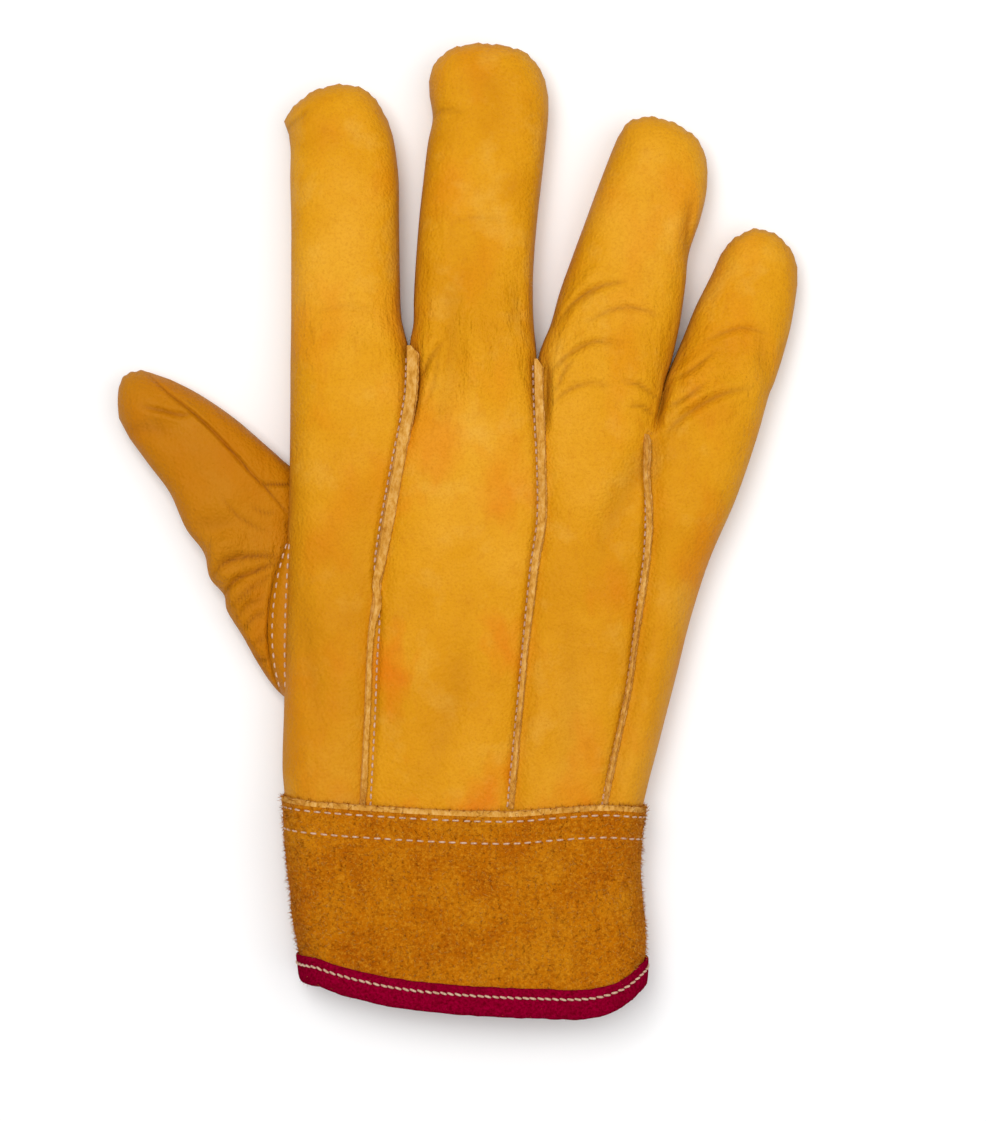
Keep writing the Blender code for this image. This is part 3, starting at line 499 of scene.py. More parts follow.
def section(plan, low, high, round_left, round_right, corner, back):
    """z of a grid's points and how far up each point is, from 0 at a side seam to 1."""
    width = np.linalg.norm(plan[:, -1] - plan[:, 0], axis=1)[:, None]
    share = np.linalg.norm(plan - plan[:, :1], axis=2) / np.maximum(width, 1e-6)
    valley = SEAM_VALLEY if back else 0.0
    rise = side_rise(share * width, round_left[:, None], corner, valley)
    rise = rise * side_rise((1 - share) * width, round_right[:, None], corner, valley)
    rise = rise * rounded(left_to_tip(plan), TIP_CORNER)
    middle = (low + high) / 2
    z = middle + (high - middle) * rise if back else middle - (middle - low) * rise
    return z, rise, share


def strip_roundness(index, rows):
    """How rounded each row's two sides are: 0 in the hand's seams and 1 at a free side."""
    part = eased(rows[:, 1], *ROUNDING)
    left = np.ones(len(rows)) if index == 0 else part
    right = np.ones(len(rows)) if index == len(DIGITS) - 1 else part
    return left, right


def hand_crown(x, y):
    ys = y.ravel()
    left, right = edge_at(0, ys).reshape(x.shape), edge_at(4, ys).reshape(x.shape)
    share = np.clip((x - left) / (right - left), 0.0, 1.0)
    return HAND_CROWN * np.sin(np.pi * share) * (1.0 - eased(y, *CROWN_FADE))


# The first of these carries painted shade in the folds of creases.
# The second carries painted shade along the rounded sides near the side seams.
# The third carries the strips' own deeper colour towards the cuff and painted shade over the thumb
# and gusset.
PAINTS = ("fold", "edge", "tone", "warm", "wrinkle")  # what a vertex tells the leather's material
Sheet = namedtuple("Sheet", ("points", *PAINTS))


def painted_edge_shade(rise):
    """Painted shade near the leather's side seams, where its rounded sides turn away from the light.
    """
    return (1.0 - smooth(rise.ravel() / 0.85)) ** 1.2


def seam_grooves():
    """The groove that each back seam's stitches pull into the leather."""
    return tuple((0.8, 0.6, stitch_line(seam)) for seam in SEAMS)


def strip_sheet(index, back):
    """One finger's column of the glove on its back or palm side, from the cuff to the tip."""
    rows = strip_rows(index)
    plan, low, high = grid_over(rows, DIGITS[index].tip, COLUMNS)
    extra = len(plan) - len(rows)
    sides = [np.pad(s, (0, extra), mode="edge") for s in strip_roundness(index, rows)]
    z, rise, share = section(plan, low, high, *sides, SIDE_CORNER, back)
    flat = np.dstack([plan, z]).reshape(-1, 3)
    painted_crease_shade = np.zeros(len(flat))
    if back:
        flatter = 1.0 - 0.5 * eased(plan[:, :, 1], *PUFF_FADE)
        puff = STRIP_PUFF * np.sin(np.pi * share) ** 0.8 * flatter
        lift = (hand_crown(plan[:, :, 0], plan[:, :, 1]) + puff) * np.clip(rise * 1.15, 0, 1)
        # creases, seam grooves and crotch grooves lower the leather and carry painted shade in their
        # folds
        drop, painted_crease_shade = creasing(flat, CREASES + seam_grooves() + CROTCH_GROOVES)
        wave = waves(flat, STRIP_BACK_WAVES)
        flat[:, 2] += lift.ravel() + (wave - drop) * rise.ravel()
    else:
        wave = waves(flat, STRIP_FRONT_WAVES) + 0.5
        flat[:, 2] += np.maximum(wave, 0.0) * rise.ravel()
    pucker(flat, plan, index + 1.0)
    towards_cuff = 1.0 - eased(flat[:, 1], *TONE_FADE)
    tone, warm = [amount * towards_cuff for amount in STRIP_COLOURS[index]]
    points = flat.reshape(*plan.shape[:2], 3)
    base_y, reach = WRINKLED[index]
    wrinkle = np.exp(-(((flat[:, 1] - base_y) / reach) ** 2)) * 0.9 + 0.1
    return Sheet(points, painted_crease_shade, painted_edge_shade(rise), tone, warm, wrinkle)


def pucker(flat, plan, seed):
    """Draws the tip seam in and out a little, as its stitches do."""
    to_tip = left_to_tip(plan).ravel()
    along = lengths_along(plan[-1])
    wave = np.sin(along * 2.1 + seed) * 0.5 + np.sin(along * 0.9) * 0.4
    wave *= np.clip(np.minimum(along, along[-1] - along) / 5.0, 0.0, 1.0)
    pull = np.tile(wave, len(plan)) * np.exp(-((to_tip / 1.6) ** 2)) * 0.4
    flat[:, 1] -= pull


def thumb_rows():
    """The thumb's straight rows, and the row where its base and its tip meet."""
    rows = np.array([[*s.left, *s.right, s.low, s.high] for s in THUMB.stations])
    knots = lengths_along((rows[:, 0:2] + rows[:, 2:4]) / 2)
    cut = knots[THUMB_CUT_STATION]
    near = np.linspace(0.0, cut, round(cut / THUMB_STEP) + 1)
    far = np.linspace(cut, knots[-1], round((knots[-1] - cut) / THUMB_STEP) + 1)
    return through(knots, rows, np.concatenate([near, far[1:]])), len(near) - 1


def thumb_sheet(back):
    rows, _ = thumb_rows()
    plan, low, high = grid_over(rows, THUMB.tip, THUMB_COLUMNS)
    ones = np.ones(len(plan))
    z, rise, share = section(plan, low, high, ones, ones, THUMB_CORNER, back)
    flat = np.dstack([plan, z]).reshape(-1, 3)
    painted_crease_shade = np.zeros(len(flat))
    if back:
        # the thumb's creases and seams lower the leather and carry painted shade in their folds
        drop, painted_crease_shade = creasing(flat, THUMB_CREASES)
        wave = waves(flat, THUMB_BACK_WAVES)
        flat[:, 2] += (THUMB_PUFF * np.sin(np.pi * share).ravel() + wave - drop) * rise.ravel()
    else:
        flat[:, 2] += np.maximum(waves(flat, THUMB_FRONT_WAVES) + 0.4, 0.0) * rise.ravel()
    pucker(flat, plan, 5.0)
    # the whole thumb takes the deeper colour as painted shade
    tone = np.full(len(flat), THUMB_PAINTED_SHADE)
    points = flat.reshape(*plan.shape[:2], 3)
    wrinkle = 1.0 - 0.8 * eased(flat[:, 1], *THUMB_WRINKLE_FADE)
    return Sheet(points, painted_crease_shade, painted_edge_shade(rise), tone, tone * THUMB_WARMTH, wrinkle)


# ---------------------------------------------------------------- meshes


class Shell:
    """Many grids as one surface, so that pieces cut from it share their normals."""

    def __init__(self):
        self.points, self.quads, self.marks = [], [], []
        self.paint = []
        self.count = 0

    def add(self, sheet, back, marks):
        """marks gives each row of faces the name of its piece."""
        grid = sheet.points
        rows, columns = grid.shape[:2]
        ids = self.count + np.arange(rows * columns).reshape(rows, columns)
        self.points.append(grid.reshape(-1, 3))
        self.paint.append(np.column_stack([getattr(sheet, paint) for paint in PAINTS]))
        quads = np.stack([ids[:-1, :-1], ids[:-1, 1:], ids[1:, 1:], ids[1:, :-1]], axis=-1)
        quads = quads if back else quads[:, :, ::-1]
        self.quads.append(quads.reshape(-1, 4))
        self.marks += [name for name in marks for _ in range(columns - 1)]
        self.count += rows * columns

    def close(self):
        points = np.vstack(self.points)
        keys = np.round(points, 2)
        _, first, same = np.unique(keys, axis=0, return_index=True, return_inverse=True)
        same = same.reshape(-1)
        self.vertices = points[first]
        self.colouring = np.zeros((len(first), len(PAINTS)))
        np.maximum.at(self.colouring, same, np.vstack(self.paint))
        self.faces = same[np.vstack(self.quads)]
        self.marks = np.array(self.marks)
        corners = self.vertices[self.faces]
        flat = np.cross(corners[:, 2] - corners[:, 0], corners[:, 3] - corners[:, 1])
        normals = np.zeros_like(self.vertices)
        for k in range(4):
            np.add.at(normals, self.faces[:, k], flat)
        size = np.linalg.norm(normals, axis=1, keepdims=True)
        self.normals = normals / np.maximum(size, 1e-9)

    def tree(self):
        return BVHTree.FromPolygons([Vector(v) for v in self.vertices],
                                    [list(map(int, f)) for f in self.faces])


def cleaned(face):
    """A face's corners without repeats, or None when nothing is left of it."""
    kept = [v for k, v in enumerate(face) if v != face[k - 1]]
    return kept if len(kept) > 2 else None


def sheet_piece(shell, name, materials):
    """One piece of a shell as closed leather: outside, inside and the cut edges between."""
    faces = [cleaned(list(f)) for f in shell.faces[shell.marks == name]]
    faces = [f for f in faces if f]
    used = sorted({v for f in faces for v in f})
    local = {v: k for k, v in enumerate(used)}
    outer = shell.vertices[used]
    normals = shell.normals[used]
    count = len(used)
    outside = [[local[v] for v in f] for f in faces]
    inside = [[v + count for v in f[::-1]] for f in outside]
    edges = {}
    for f in outside:
        for a, b in zip(f, f[1:] + f[:1]):
            edges[(a, b)] = edges.get((a, b), 0) + 1
    rim = [[b, a, a + count, b + count] for a, b in edges if (b, a) not in edges]
    vertices = np.vstack([outer, outer - normals * LEATHER]) * MM
    obj = mesh_object(name, vertices, outside + inside + rim)
    mesh = obj.data
    for material in materials:
        mesh.materials.append(material)
    kinds = [0] * len(outside) + [1] * len(inside) + [2] * len(rim)
    mesh.polygons.foreach_set("material_index", kinds)
    set_normals(mesh, np.vstack([normals, -normals]), len(outside) + len(inside))
    for paint, values in zip(PAINTS, shell.colouring[used].T):
        add_attribute(mesh, paint, np.concatenate([values, values]))
    return obj


def set_normals(mesh, normals, smooth_faces):
    """Gives the first faces their shell's normals and leaves the rims flat."""
    corners = np.zeros(len(mesh.loops), int)
    mesh.loops.foreach_get("vertex_index", corners)
    loops = normals[corners]
    for polygon in mesh.polygons[smooth_faces:]:
        loops[polygon.loop_start : polygon.loop_start + polygon.loop_total] = polygon.normal
    mesh.normals_split_custom_set(loops)


def add_attribute(mesh, name, values):
    attribute = mesh.attributes.new(name, "FLOAT", "POINT")
    attribute.data.foreach_set("value", np.asarray(values, np.float32))


def mesh_object(name, vertices, faces, smooth_shading=True):
    mesh = bpy.data.meshes.new(name)
    mesh.from_pydata([tuple(v) for v in vertices], [], faces)
    mesh.update()
    if smooth_shading:
        mesh.shade_smooth()
    obj = bpy.data.objects.new(name, mesh)
    bpy.context.scene.collection.objects.link(obj)
    return obj


def ring_faces(rings, sides, start=0, flip=False, closed=False):
    """Faces between rings of vertices. A closed tube also joins its last ring to its first."""
    faces = []
    for r in range(rings if closed else rings - 1):
        this, following = r * sides, (r + 1) % rings * sides
        for c in range(sides):
            d = (c + 1) % sides
            face = [this + c, this + d, following + d, following + c]
            faces.append([v + start for v in (face[::-1] if flip else face)])
    return faces


def joined(parts):
    """Lists of vertices and faces as one."""
    vertices, faces = [], []
    for points, polygons in parts:
        start = len(vertices)
        vertices += [tuple(p) for p in points]
        faces += [[v + start for v in f] for f in polygons]
    return vertices, faces


def dressed(obj, material, slot, *nodes):
    """Gives an object the material unless it has its own already, and hides the CAD nodes that it
    stands in for. The slot is not used.
    """
    if not obj.data.materials:
        obj.data.materials.append(material)
    if nodes:
        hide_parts(*nodes)
    return obj


# ---------------------------------------------------------------- materials


class Nodes:
    """Short hand for a material's node tree."""

    def __init__(self, name):
        self.material = bpy.data.materials.new(name)
        self.material.use_nodes = True
        self.tree = self.material.node_tree
        self.shader = self.tree.nodes["Principled BSDF"]
        self.coordinates = self.tree.nodes.new("ShaderNodeTexCoord").outputs["Object"]

    def link(self, a, b):
        self.tree.links.new(a, b)

    def noise(self, scale, detail=3.0, roughness=0.5, stretch=None):
        node = self.tree.nodes.new("ShaderNodeTexNoise")
        node.inputs["Scale"].default_value = scale
        node.inputs["Detail"].default_value = detail
        node.inputs["Roughness"].default_value = roughness
        place = self.coordinates
        if stretch:
            mapping = self.tree.nodes.new("ShaderNodeMapping")
            mapping.inputs["Scale"].default_value = stretch
            self.link(self.coordinates, mapping.inputs["Vector"])
            place = mapping.outputs["Vector"]
        self.link(place, node.inputs["Vector"])
        return node.outputs["Fac"]

    def cells(self, scale):
        node = self.tree.nodes.new("ShaderNodeTexVoronoi")
        node.inputs["Scale"].default_value = scale
        self.link(self.coordinates, node.inputs["Vector"])
        return node.outputs["Distance"]

    def attribute(self, name):
        node = self.tree.nodes.new("ShaderNodeAttribute")
        node.attribute_name = name
        return node.outputs["Fac"]

    def ramp(self, value, *stops):
        node = self.tree.nodes.new("ShaderNodeValToRGB")
        elements = node.color_ramp.elements
        while len(elements) < len(stops):
            elements.new(0.5)
        for element, (place, colour) in zip(elements, stops):
            element.position = place
            element.color = (*colour, 1.0)
        self.link(value, node.inputs["Fac"])
        return node.outputs["Color"]

    def range(self, value, low, high, to_low=0.0, to_high=1.0):
        node = self.tree.nodes.new("ShaderNodeMapRange")
        for name, number in (("From Min", low), ("From Max", high), ("To Min", to_low),
                             ("To Max", to_high)):
            node.inputs[name].default_value = number
        self.link(value, node.inputs["Value"])
        return node.outputs["Result"]

    def mix(self, share, a, b):
        node = self.tree.nodes.new("ShaderNodeMix")
        node.data_type = "RGBA"
        self.put(share, node.inputs[0])
        self.put(a, node.inputs[6])
        self.put(b, node.inputs[7])
        return node.outputs[2]

    def maths(self, operation, a, b):
        node = self.tree.nodes.new("ShaderNodeMath")
        node.operation = operation
        self.put(a, node.inputs[0])
        self.put(b, node.inputs[1])
        return node.outputs[0]

    def put(self, value, socket):
        if isinstance(value, bpy.types.NodeSocket):
            self.link(value, socket)
        elif isinstance(value, tuple) and len(value) == 3:
            socket.default_value = (*value, 1.0)
        else:
            socket.default_value = value

    def bump(self, *layers):
        """Each layer is a height socket, a strength and a depth in metres."""
        normal = None
        for height, strength, distance in layers:
            node = self.tree.nodes.new("ShaderNodeBump")
            node.inputs["Strength"].default_value = strength
            node.inputs["Distance"].default_value = distance
            self.link(height, node.inputs["Height"])
            if normal:
                self.link(normal, node.inputs["Normal"])
            normal = node.outputs["Normal"]
        self.link(normal, self.shader.inputs["Normal"])

    def sheen(self, weight, roughness, tint):
        self.shader.inputs["Sheen Weight"].default_value = weight
        self.shader.inputs["Sheen Roughness"].default_value = roughness
        self.shader.inputs["Sheen Tint"].default_value = (*tint, 1.0)

    def finish(self, colour, roughness):
        self.put(colour, self.shader.inputs["Base Color"])
        self.put(roughness, self.shader.inputs["Roughness"])
        return self.material


def linear(red, green, blue):
    """The colour of a surface that looks so under the scene's light, given from 0 to 255."""
    shares = [c / 255.0 for c in (red, green, blue)]
    seen = [c / 12.92 if c <= 0.04045 else ((c + 0.055) / 1.055) ** 2.4 for c in shares]
    return tuple(c / LIGHT_LEVEL for c in seen)


def grain_leather():
    n = Nodes("grain_leather")
    clouds = n.noise(26.0, 4.0, 0.6)
    colour = n.ramp(clouds, (0.32, linear(222, 147, 2)), (0.5, linear(234, 161, 16)),
                    (0.68, linear(242, 172, 38)))
    blotches = n.range(n.noise(48.0, 3.0, 0.55, stretch=(1.0, 0.6, 1.0)), 0.50, 0.66)
    warmth = n.maths("MULTIPLY", blotches, n.range(n.attribute("warm"), 0.0, 1.0, 0.3, 0.95))
    colour = n.mix(warmth, colour, linear(236, 128, 2))
    pale = n.range(n.noise(75.0, 4.0, 0.6), 0.54, 0.72)
    colour = n.mix(n.maths("MULTIPLY", pale, 0.4), colour, linear(244, 184, 70))
    speckle = n.noise(1500.0, 3.0, 0.7)
    colour = n.mix(n.range(speckle, 0.46, 0.68, 0.0, 0.34), colour, linear(206, 126, 4))
    pores = n.range(n.cells(1000.0), 0.0, 0.32, 1.0, 0.0)
    colour = n.mix(n.maths("MULTIPLY", pores, 0.24), colour, linear(190, 110, 2))
    veins = n.range(n.noise(300.0, 5.0, 0.7, stretch=(1.0, 0.4, 1.0)), 0.56, 0.72, 0.0, 0.35)
    colour = n.mix(veins, colour, linear(206, 124, 6))
    # the deeper colour: the strips' own leather towards the cuff, and painted shade over the thumb
    # and gusset
    deep = n.mix(0.78, colour, linear(194, 116, 0))
    colour = n.mix(n.attribute("tone"), colour, deep)
    # painted shade along the rounded sides near the side seams, a little uneven with the clouds
    wear_and_edge_shade = n.maths("MULTIPLY", n.attribute("edge"), n.range(clouds, 0.3, 0.7, 0.75, 0.45))
    colour = n.mix(wear_and_edge_shade, colour, linear(202, 142, 60))
    # painted shade in the folds of creases, seams and crotch grooves
    colour = n.mix(n.maths("MULTIPLY", n.attribute("fold"), 0.7), colour, linear(122, 58, 4))
    wrinkles = n.noise(330.0, 4.0, 0.6, stretch=(1.0, 0.3, 1.0))
    n.bump((n.noise(230.0, 6.0, 0.62), 0.5, 0.0011),
           (n.maths("MULTIPLY", wrinkles, n.attribute("wrinkle")), 0.9, 0.0013),
           (n.cells(1000.0), 0.5, 0.00035), (n.noise(1500.0, 3.0, 0.65), 0.45, 0.00035))
    n.shader.inputs["Specular IOR Level"].default_value = 0.09
    return n.finish(colour, n.range(n.noise(90.0, 3.0), 0.3, 0.7, 0.5, 0.66))


def flesh_side():
    n = Nodes("flesh_side")
    colour = n.ramp(n.noise(160.0, 4.0, 0.6), (0.35, linear(176, 122, 58)),
                    (0.65, linear(206, 156, 88)))
    n.bump((n.noise(1400.0, 3.0, 0.7), 0.6, 0.0004))
    n.sheen(0.4, 0.6, (1.0, 0.9, 0.75))
    return n.finish(colour, 0.95)


def raw_edge():
    n = Nodes("raw_edge")
    strands = n.noise(800.0, 4.0, 0.65, stretch=(1.0, 0.5, 1.0))
    colour = n.ramp(strands, (0.30, linear(186, 120, 32)), (0.48, linear(220, 156, 62)),
                    (0.68, linear(240, 186, 104)))
    grime = n.range(n.noise(90.0, 3.0, 0.6), 0.5, 0.72, 0.0, 0.3)
    colour = n.mix(grime, colour, linear(184, 116, 34))
    n.bump((strands, 0.6, 0.0005), (n.noise(2200.0, 2.0, 0.6), 0.4, 0.0002))
    n.shader.inputs["Specular IOR Level"].default_value = 0.1
    return n.finish(colour, 0.93)


def suede():
    n = Nodes("suede")
    colour = n.ramp(n.noise(62.0, 5.0, 0.62), (0.34, linear(192, 100, 0)),
                    (0.5, linear(210, 120, 2)), (0.66, linear(220, 136, 12)))
    brushed = n.noise(240.0, 4.0, 0.7, stretch=(1.0, 0.45, 1.0))
    colour = n.mix(n.range(brushed, 0.47, 0.7, 0.0, 0.5), colour, linear(172, 84, 4))
    flecks = n.range(n.noise(1150.0, 4.0, 0.8), 0.48, 0.66, 0.0, 0.75)
    colour = n.mix(flecks, colour, linear(236, 158, 34))
    shadows = n.range(n.noise(820.0, 4.0, 0.8), 0.50, 0.66, 0.0, 0.65)
    colour = n.mix(shadows, colour, linear(152, 76, 2))
    n.bump((n.noise(760.0, 4.0, 0.78), 0.9, 0.0011), (n.noise(2000.0, 2.0, 0.7), 0.5, 0.0004))
    n.shader.inputs["Specular IOR Level"].default_value = 0.05
    return n.finish(colour, 0.96)


def pale_nap():
    """The longer suede fibres that catch the light."""
    n = Nodes("pale_nap")
    colour = n.ramp(n.noise(500.0, 2.0), (0.35, linear(206, 128, 22)), (0.65, linear(232, 160, 56)))
    return n.finish(colour, 0.9)


def thread():
    n = Nodes("thread")
    twist = n.noise(1900.0, 2.0, 0.6, stretch=(1.0, 0.5, 1.0))
    colour = n.ramp(twist, (0.35, linear(196, 148, 112)), (0.65, linear(232, 196, 168)))
    n.bump((twist, 0.6, 0.0002))
    n.sheen(0.25, 0.5, (1.0, 0.95, 0.9))
    return n.finish(colour, 0.72)


def binding():
    n = Nodes("binding")
    nap = n.noise(1300.0, 3.0, 0.7)
    colour = n.ramp(nap, (0.32, linear(104, 0, 20)), (0.5, linear(138, 0, 38)),
                    (0.7, linear(162, 0, 52)))
    wear_and_edge_shade = n.range(n.noise(120.0, 3.0, 0.6), 0.5, 0.75, 0.0, 0.4)
    colour = n.mix(wear_and_edge_shade, colour, linear(112, 6, 26))
    n.bump((nap, 0.6, 0.0004), (n.noise(330.0, 3.0, 0.6), 0.3, 0.0006))
    n.shader.inputs["Specular IOR Level"].default_value = 0.0
    return n.finish(colour, 0.9)


# ---------------------------------------------------------------- stitches, welts and nap


def stitch_shape(start, end, up, radius):
    """A plump thread lying from start to end, as rings of a spindle with blunt ends."""
    along = end - start
    along.normalize()
    side = along.cross(up).normalized()
    over = side.cross(along).normalized()
    points = []
    for share, fat in STITCH_RINGS:
        middle = start.lerp(end, share) - over * radius * (1.0 - fat)
        for k in range(STITCH_SIDES):
            angle = 2 * math.pi * k / STITCH_SIDES
            points.append(middle + (side * math.cos(angle) + over * math.sin(angle)) * radius * fat)
    faces = ring_faces(len(STITCH_RINGS), STITCH_SIDES)
    faces.append(list(range(STITCH_SIDES))[::-1])
    faces.append(list(range(len(points) - STITCH_SIDES, len(points))))
    return points, faces


def stitch_row(label, places, material, sewing):
    """Separate stitches along a line of (point, outward) pairs, in place of their CAD node."""
    radius, length, pitch, slant = sewing
    line = np.array([p for p, _ in places])
    outs = np.array([o for _, o in places])
    along = lengths_along(line)
    count = int(along[-1] / pitch)
    draw = random.Random(SEEDS["stitch"])
    parts = []
    for k in range(count):
        middle = (k + 0.5) * along[-1] / count + draw.uniform(-0.12, 0.12)
        ends = np.array([middle - length / 2, middle + length / 2])
        a, b = [Vector([np.interp(e, along, line[:, c]) for c in range(3)]) for e in ends]
        up = Vector([np.interp(middle, along, outs[:, c]) for c in range(3)]).normalized()
        side = (b - a).cross(up).normalized() * (slant + draw.uniform(-0.06, 0.06))
        lift = up * radius * 0.55
        parts.append(stitch_shape(a + lift - side, b + lift + side, up, radius))
    vertices, faces = joined(parts)
    obj = mesh_object(f"{label}_stitch_row", np.array(vertices) * MM, faces)
    return dressed(obj, material, "thread", f"{label}_stitches")


def on_surface(tree, line, spacing=0.6):
    """Points on the top of a surface below a line in plan, with the surface's normals."""
    line = np.asarray(line, float)
    total = lengths_along(line)[-1]
    places = []
    for x, y in evenly(line, max(3, int(total / spacing))):
        hit, normal, _, _ = tree.ray_cast(Vector((x, y, 200.0)), Vector((0, 0, -1)))
        if hit:
            normal = normal if normal.z > 0 else -normal
            places.append((np.array(hit), np.array(normal)))
    return softened(places)


def softened(places, rounds=6):
    """Evens out the steps of a line that was dropped on a mesh."""
    points = np.array([p for p, _ in places])
    outs = np.array([o for _, o in places])
    for _ in range(rounds):
        points[1:-1] = (points[:-2] + 2 * points[1:-1] + points[2:]) / 4
        outs[1:-1] = (outs[:-2] + 2 * outs[1:-1] + outs[2:]) / 4
    return list(zip(points, outs))


def seam_line(edge, offset, top):
    """The line of a back seam in plan, moved right by offset, up to a crotch."""
    ys = np.linspace(SEAM_LOW_Y, top, 40)
    return np.column_stack([edge_at(edge, ys) + offset, ys])


def stitch_line(seam, short=0.0):
    """The line in plan of a back seam's stitches, ending short of the seam's top."""
    line = seam_line(seam.edge, seam.shift, seam.top - short)
    low, high = STITCH_CROSSING
    line[:, 0] += lerp(seam.stitch_low, STITCH_OFFSET, smooth((line[:, 1] - low) / (high - low)))
    return line


def welt_ply(seam, places, ply, draw):
    """One cut layer of a seam allowance: a flat strip lying over to the right."""
    inner, outer, height, tilt, thickness = ply
    profile = ((inner, 0.0), (inner, thickness), (lerp(inner, outer, 0.5), thickness * 1.15),
               (outer, thickness * 0.9), (outer + 0.12, thickness * 0.45), (outer, 0.0))
    rows = []
    for k, (point, out) in enumerate(places):
        ahead = places[min(k + 1, len(places) - 1)][0] - places[max(k - 1, 0)][0]
        right = np.cross(ahead, out)
        right /= np.linalg.norm(right)
        ragged = draw.uniform(-0.12, 0.12) + 0.15 * math.sin(k * 0.11) * math.sin(k * 0.043 + 1)
        ends = min(1.0, (len(places) - 1 - k) / 6.0 + 0.35)
        wide = lerp(seam.narrow, seam.broad, eased(point[1], *WELT_WIDENING))
        flat = lerp(0.45, 1.0, eased(point[1], SEAM_LOW_Y, 9.0))
        rise = CROTCH_RISE * eased(point[1] - seam.top, -24.0, 16.0)
        for across, up in profile:
            far = (across - inner) / (outer - inner)
            side = inner + ((across - inner) * wide + ragged * far) * ends
            rows.append(point + right * side + out * ((height + up + tilt * far) * flat + rise))
    faces = ring_faces(len(places), len(profile))
    faces.append(list(range(len(profile))))
    faces.append(list(range(len(rows) - len(profile), len(rows)))[::-1])
    return rows, faces


def fibres(points, normals, nap, draw):
    """Loose fibres as thin spikes standing on random points of a surface."""
    number, longest, radius, lean = nap
    parts = []
    for _ in range(number):
        k = draw.randrange(len(points))
        spot = Vector(points[k]) + Vector([draw.uniform(-0.6, 0.6) for _ in range(3)]) * 0.5
        way = Vector(normals[k]) + Vector([draw.uniform(-lean, lean) for _ in range(3)])
        way.normalize()
        side = way.orthogonal().normalized() * radius
        other = way.cross(side)
        tip = spot + way * longest * draw.uniform(0.4, 1.0)
        foot = spot - way * 0.3
        base = [foot + side, foot - side * 0.5 + other * 0.86, foot - side * 0.5 - other * 0.86]
        parts.append(([*base, tip], [[0, 2, 1], [0, 1, 3], [1, 2, 3], [2, 0, 3]]))
    return parts


# ---------------------------------------------------------------- cuff


def cuff_side(y):
    """Left and right x of the cuff at a y."""
    ys = [row[0] for row in CUFF_OUTLINE][::-1]
    sides = through(ys, [row[1:] for row in CUFF_OUTLINE][::-1], [y])[0]
    return sides[0], sides[1]


def cuff_edge_y(edge, x):
    return float(through([p[0] for p in edge], [p[1] for p in edge], [x])[0, 0])


def cuff_place(turn, below):
    """A point of the cuff's outer surface. turn runs from 0 at the right side over the back to
    0.5 at the left and round to 1; below runs from 0 at the top edge to 1 at the bottom."""
    back = turn <= 0.5
    step = 0.5 - 0.5 * math.cos(2 * math.pi * turn)
    share = 1.0 - step
    left, right = cuff_side(-50.0)
    x = lerp(left, right, share)
    top, bottom = cuff_edge_y(CUFF_TOP, x), cuff_edge_y(CUFF_BOTTOM, x)
    y = lerp(top, bottom, below)
    left, right = cuff_side(y)
    x = lerp(left, right, share)
    inset = min(share, 1.0 - share) * (right - left)
    rise = CUFF_HALF_HEIGHT * float(rounded(np.array(inset), CUFF_CORNER))
    crown = (CUFF_CROWN if back else -CUFF_SAG) * math.sin(math.pi * share)
    z = CUFF_MIDDLE_Z + (rise if back else -rise) + crown
    return np.array([x, y, z])


def cuff_depth(turn, depth):
    """Share of the way down the cuff for a depth in millimetres below its top edge."""
    a, b = cuff_place(turn, 0.0), cuff_place(turn, 1.0)
    return depth / np.linalg.norm(b - a)


def cuff_grid(turns, belows):
    """Points and outward directions over the cuff. belows has a column for every turn."""
    grid = np.array([[cuff_place(t, belows[r][c]) for c, t in enumerate(turns)]
                     for r in range(len(belows))])
    around = np.roll(grid, -1, axis=1) - np.roll(grid, 1, axis=1)
    outs = np.cross(around, np.array([0.0, -1.0, 0.0]))
    outs /= np.linalg.norm(outs, axis=2, keepdims=True)
    bumps = waves(grid.reshape(-1, 3), CUFF_WAVES)
    grid = grid + outs * (bumps * CUFF_WOBBLE).reshape(*grid.shape[:2], 1)
    grid[:, :, 2] = np.maximum(grid[:, :, 2], CUFF_LOWEST)
    return grid, outs


def cuff_rims(rows, columns):
    """Faces that close the cuff's two edges: over the lip at the top and straight at the bottom."""
    count = rows * columns
    last = count - columns
    faces = []
    for c in range(columns):
        d = (c + 1) % columns
        faces.append([c, d, 2 * count + d, 2 * count + c])
        faces.append([2 * count + c, 2 * count + d, count + d, count + c])
        faces.append([last + d, last + c, count + last + c, count + last + d])
    return faces


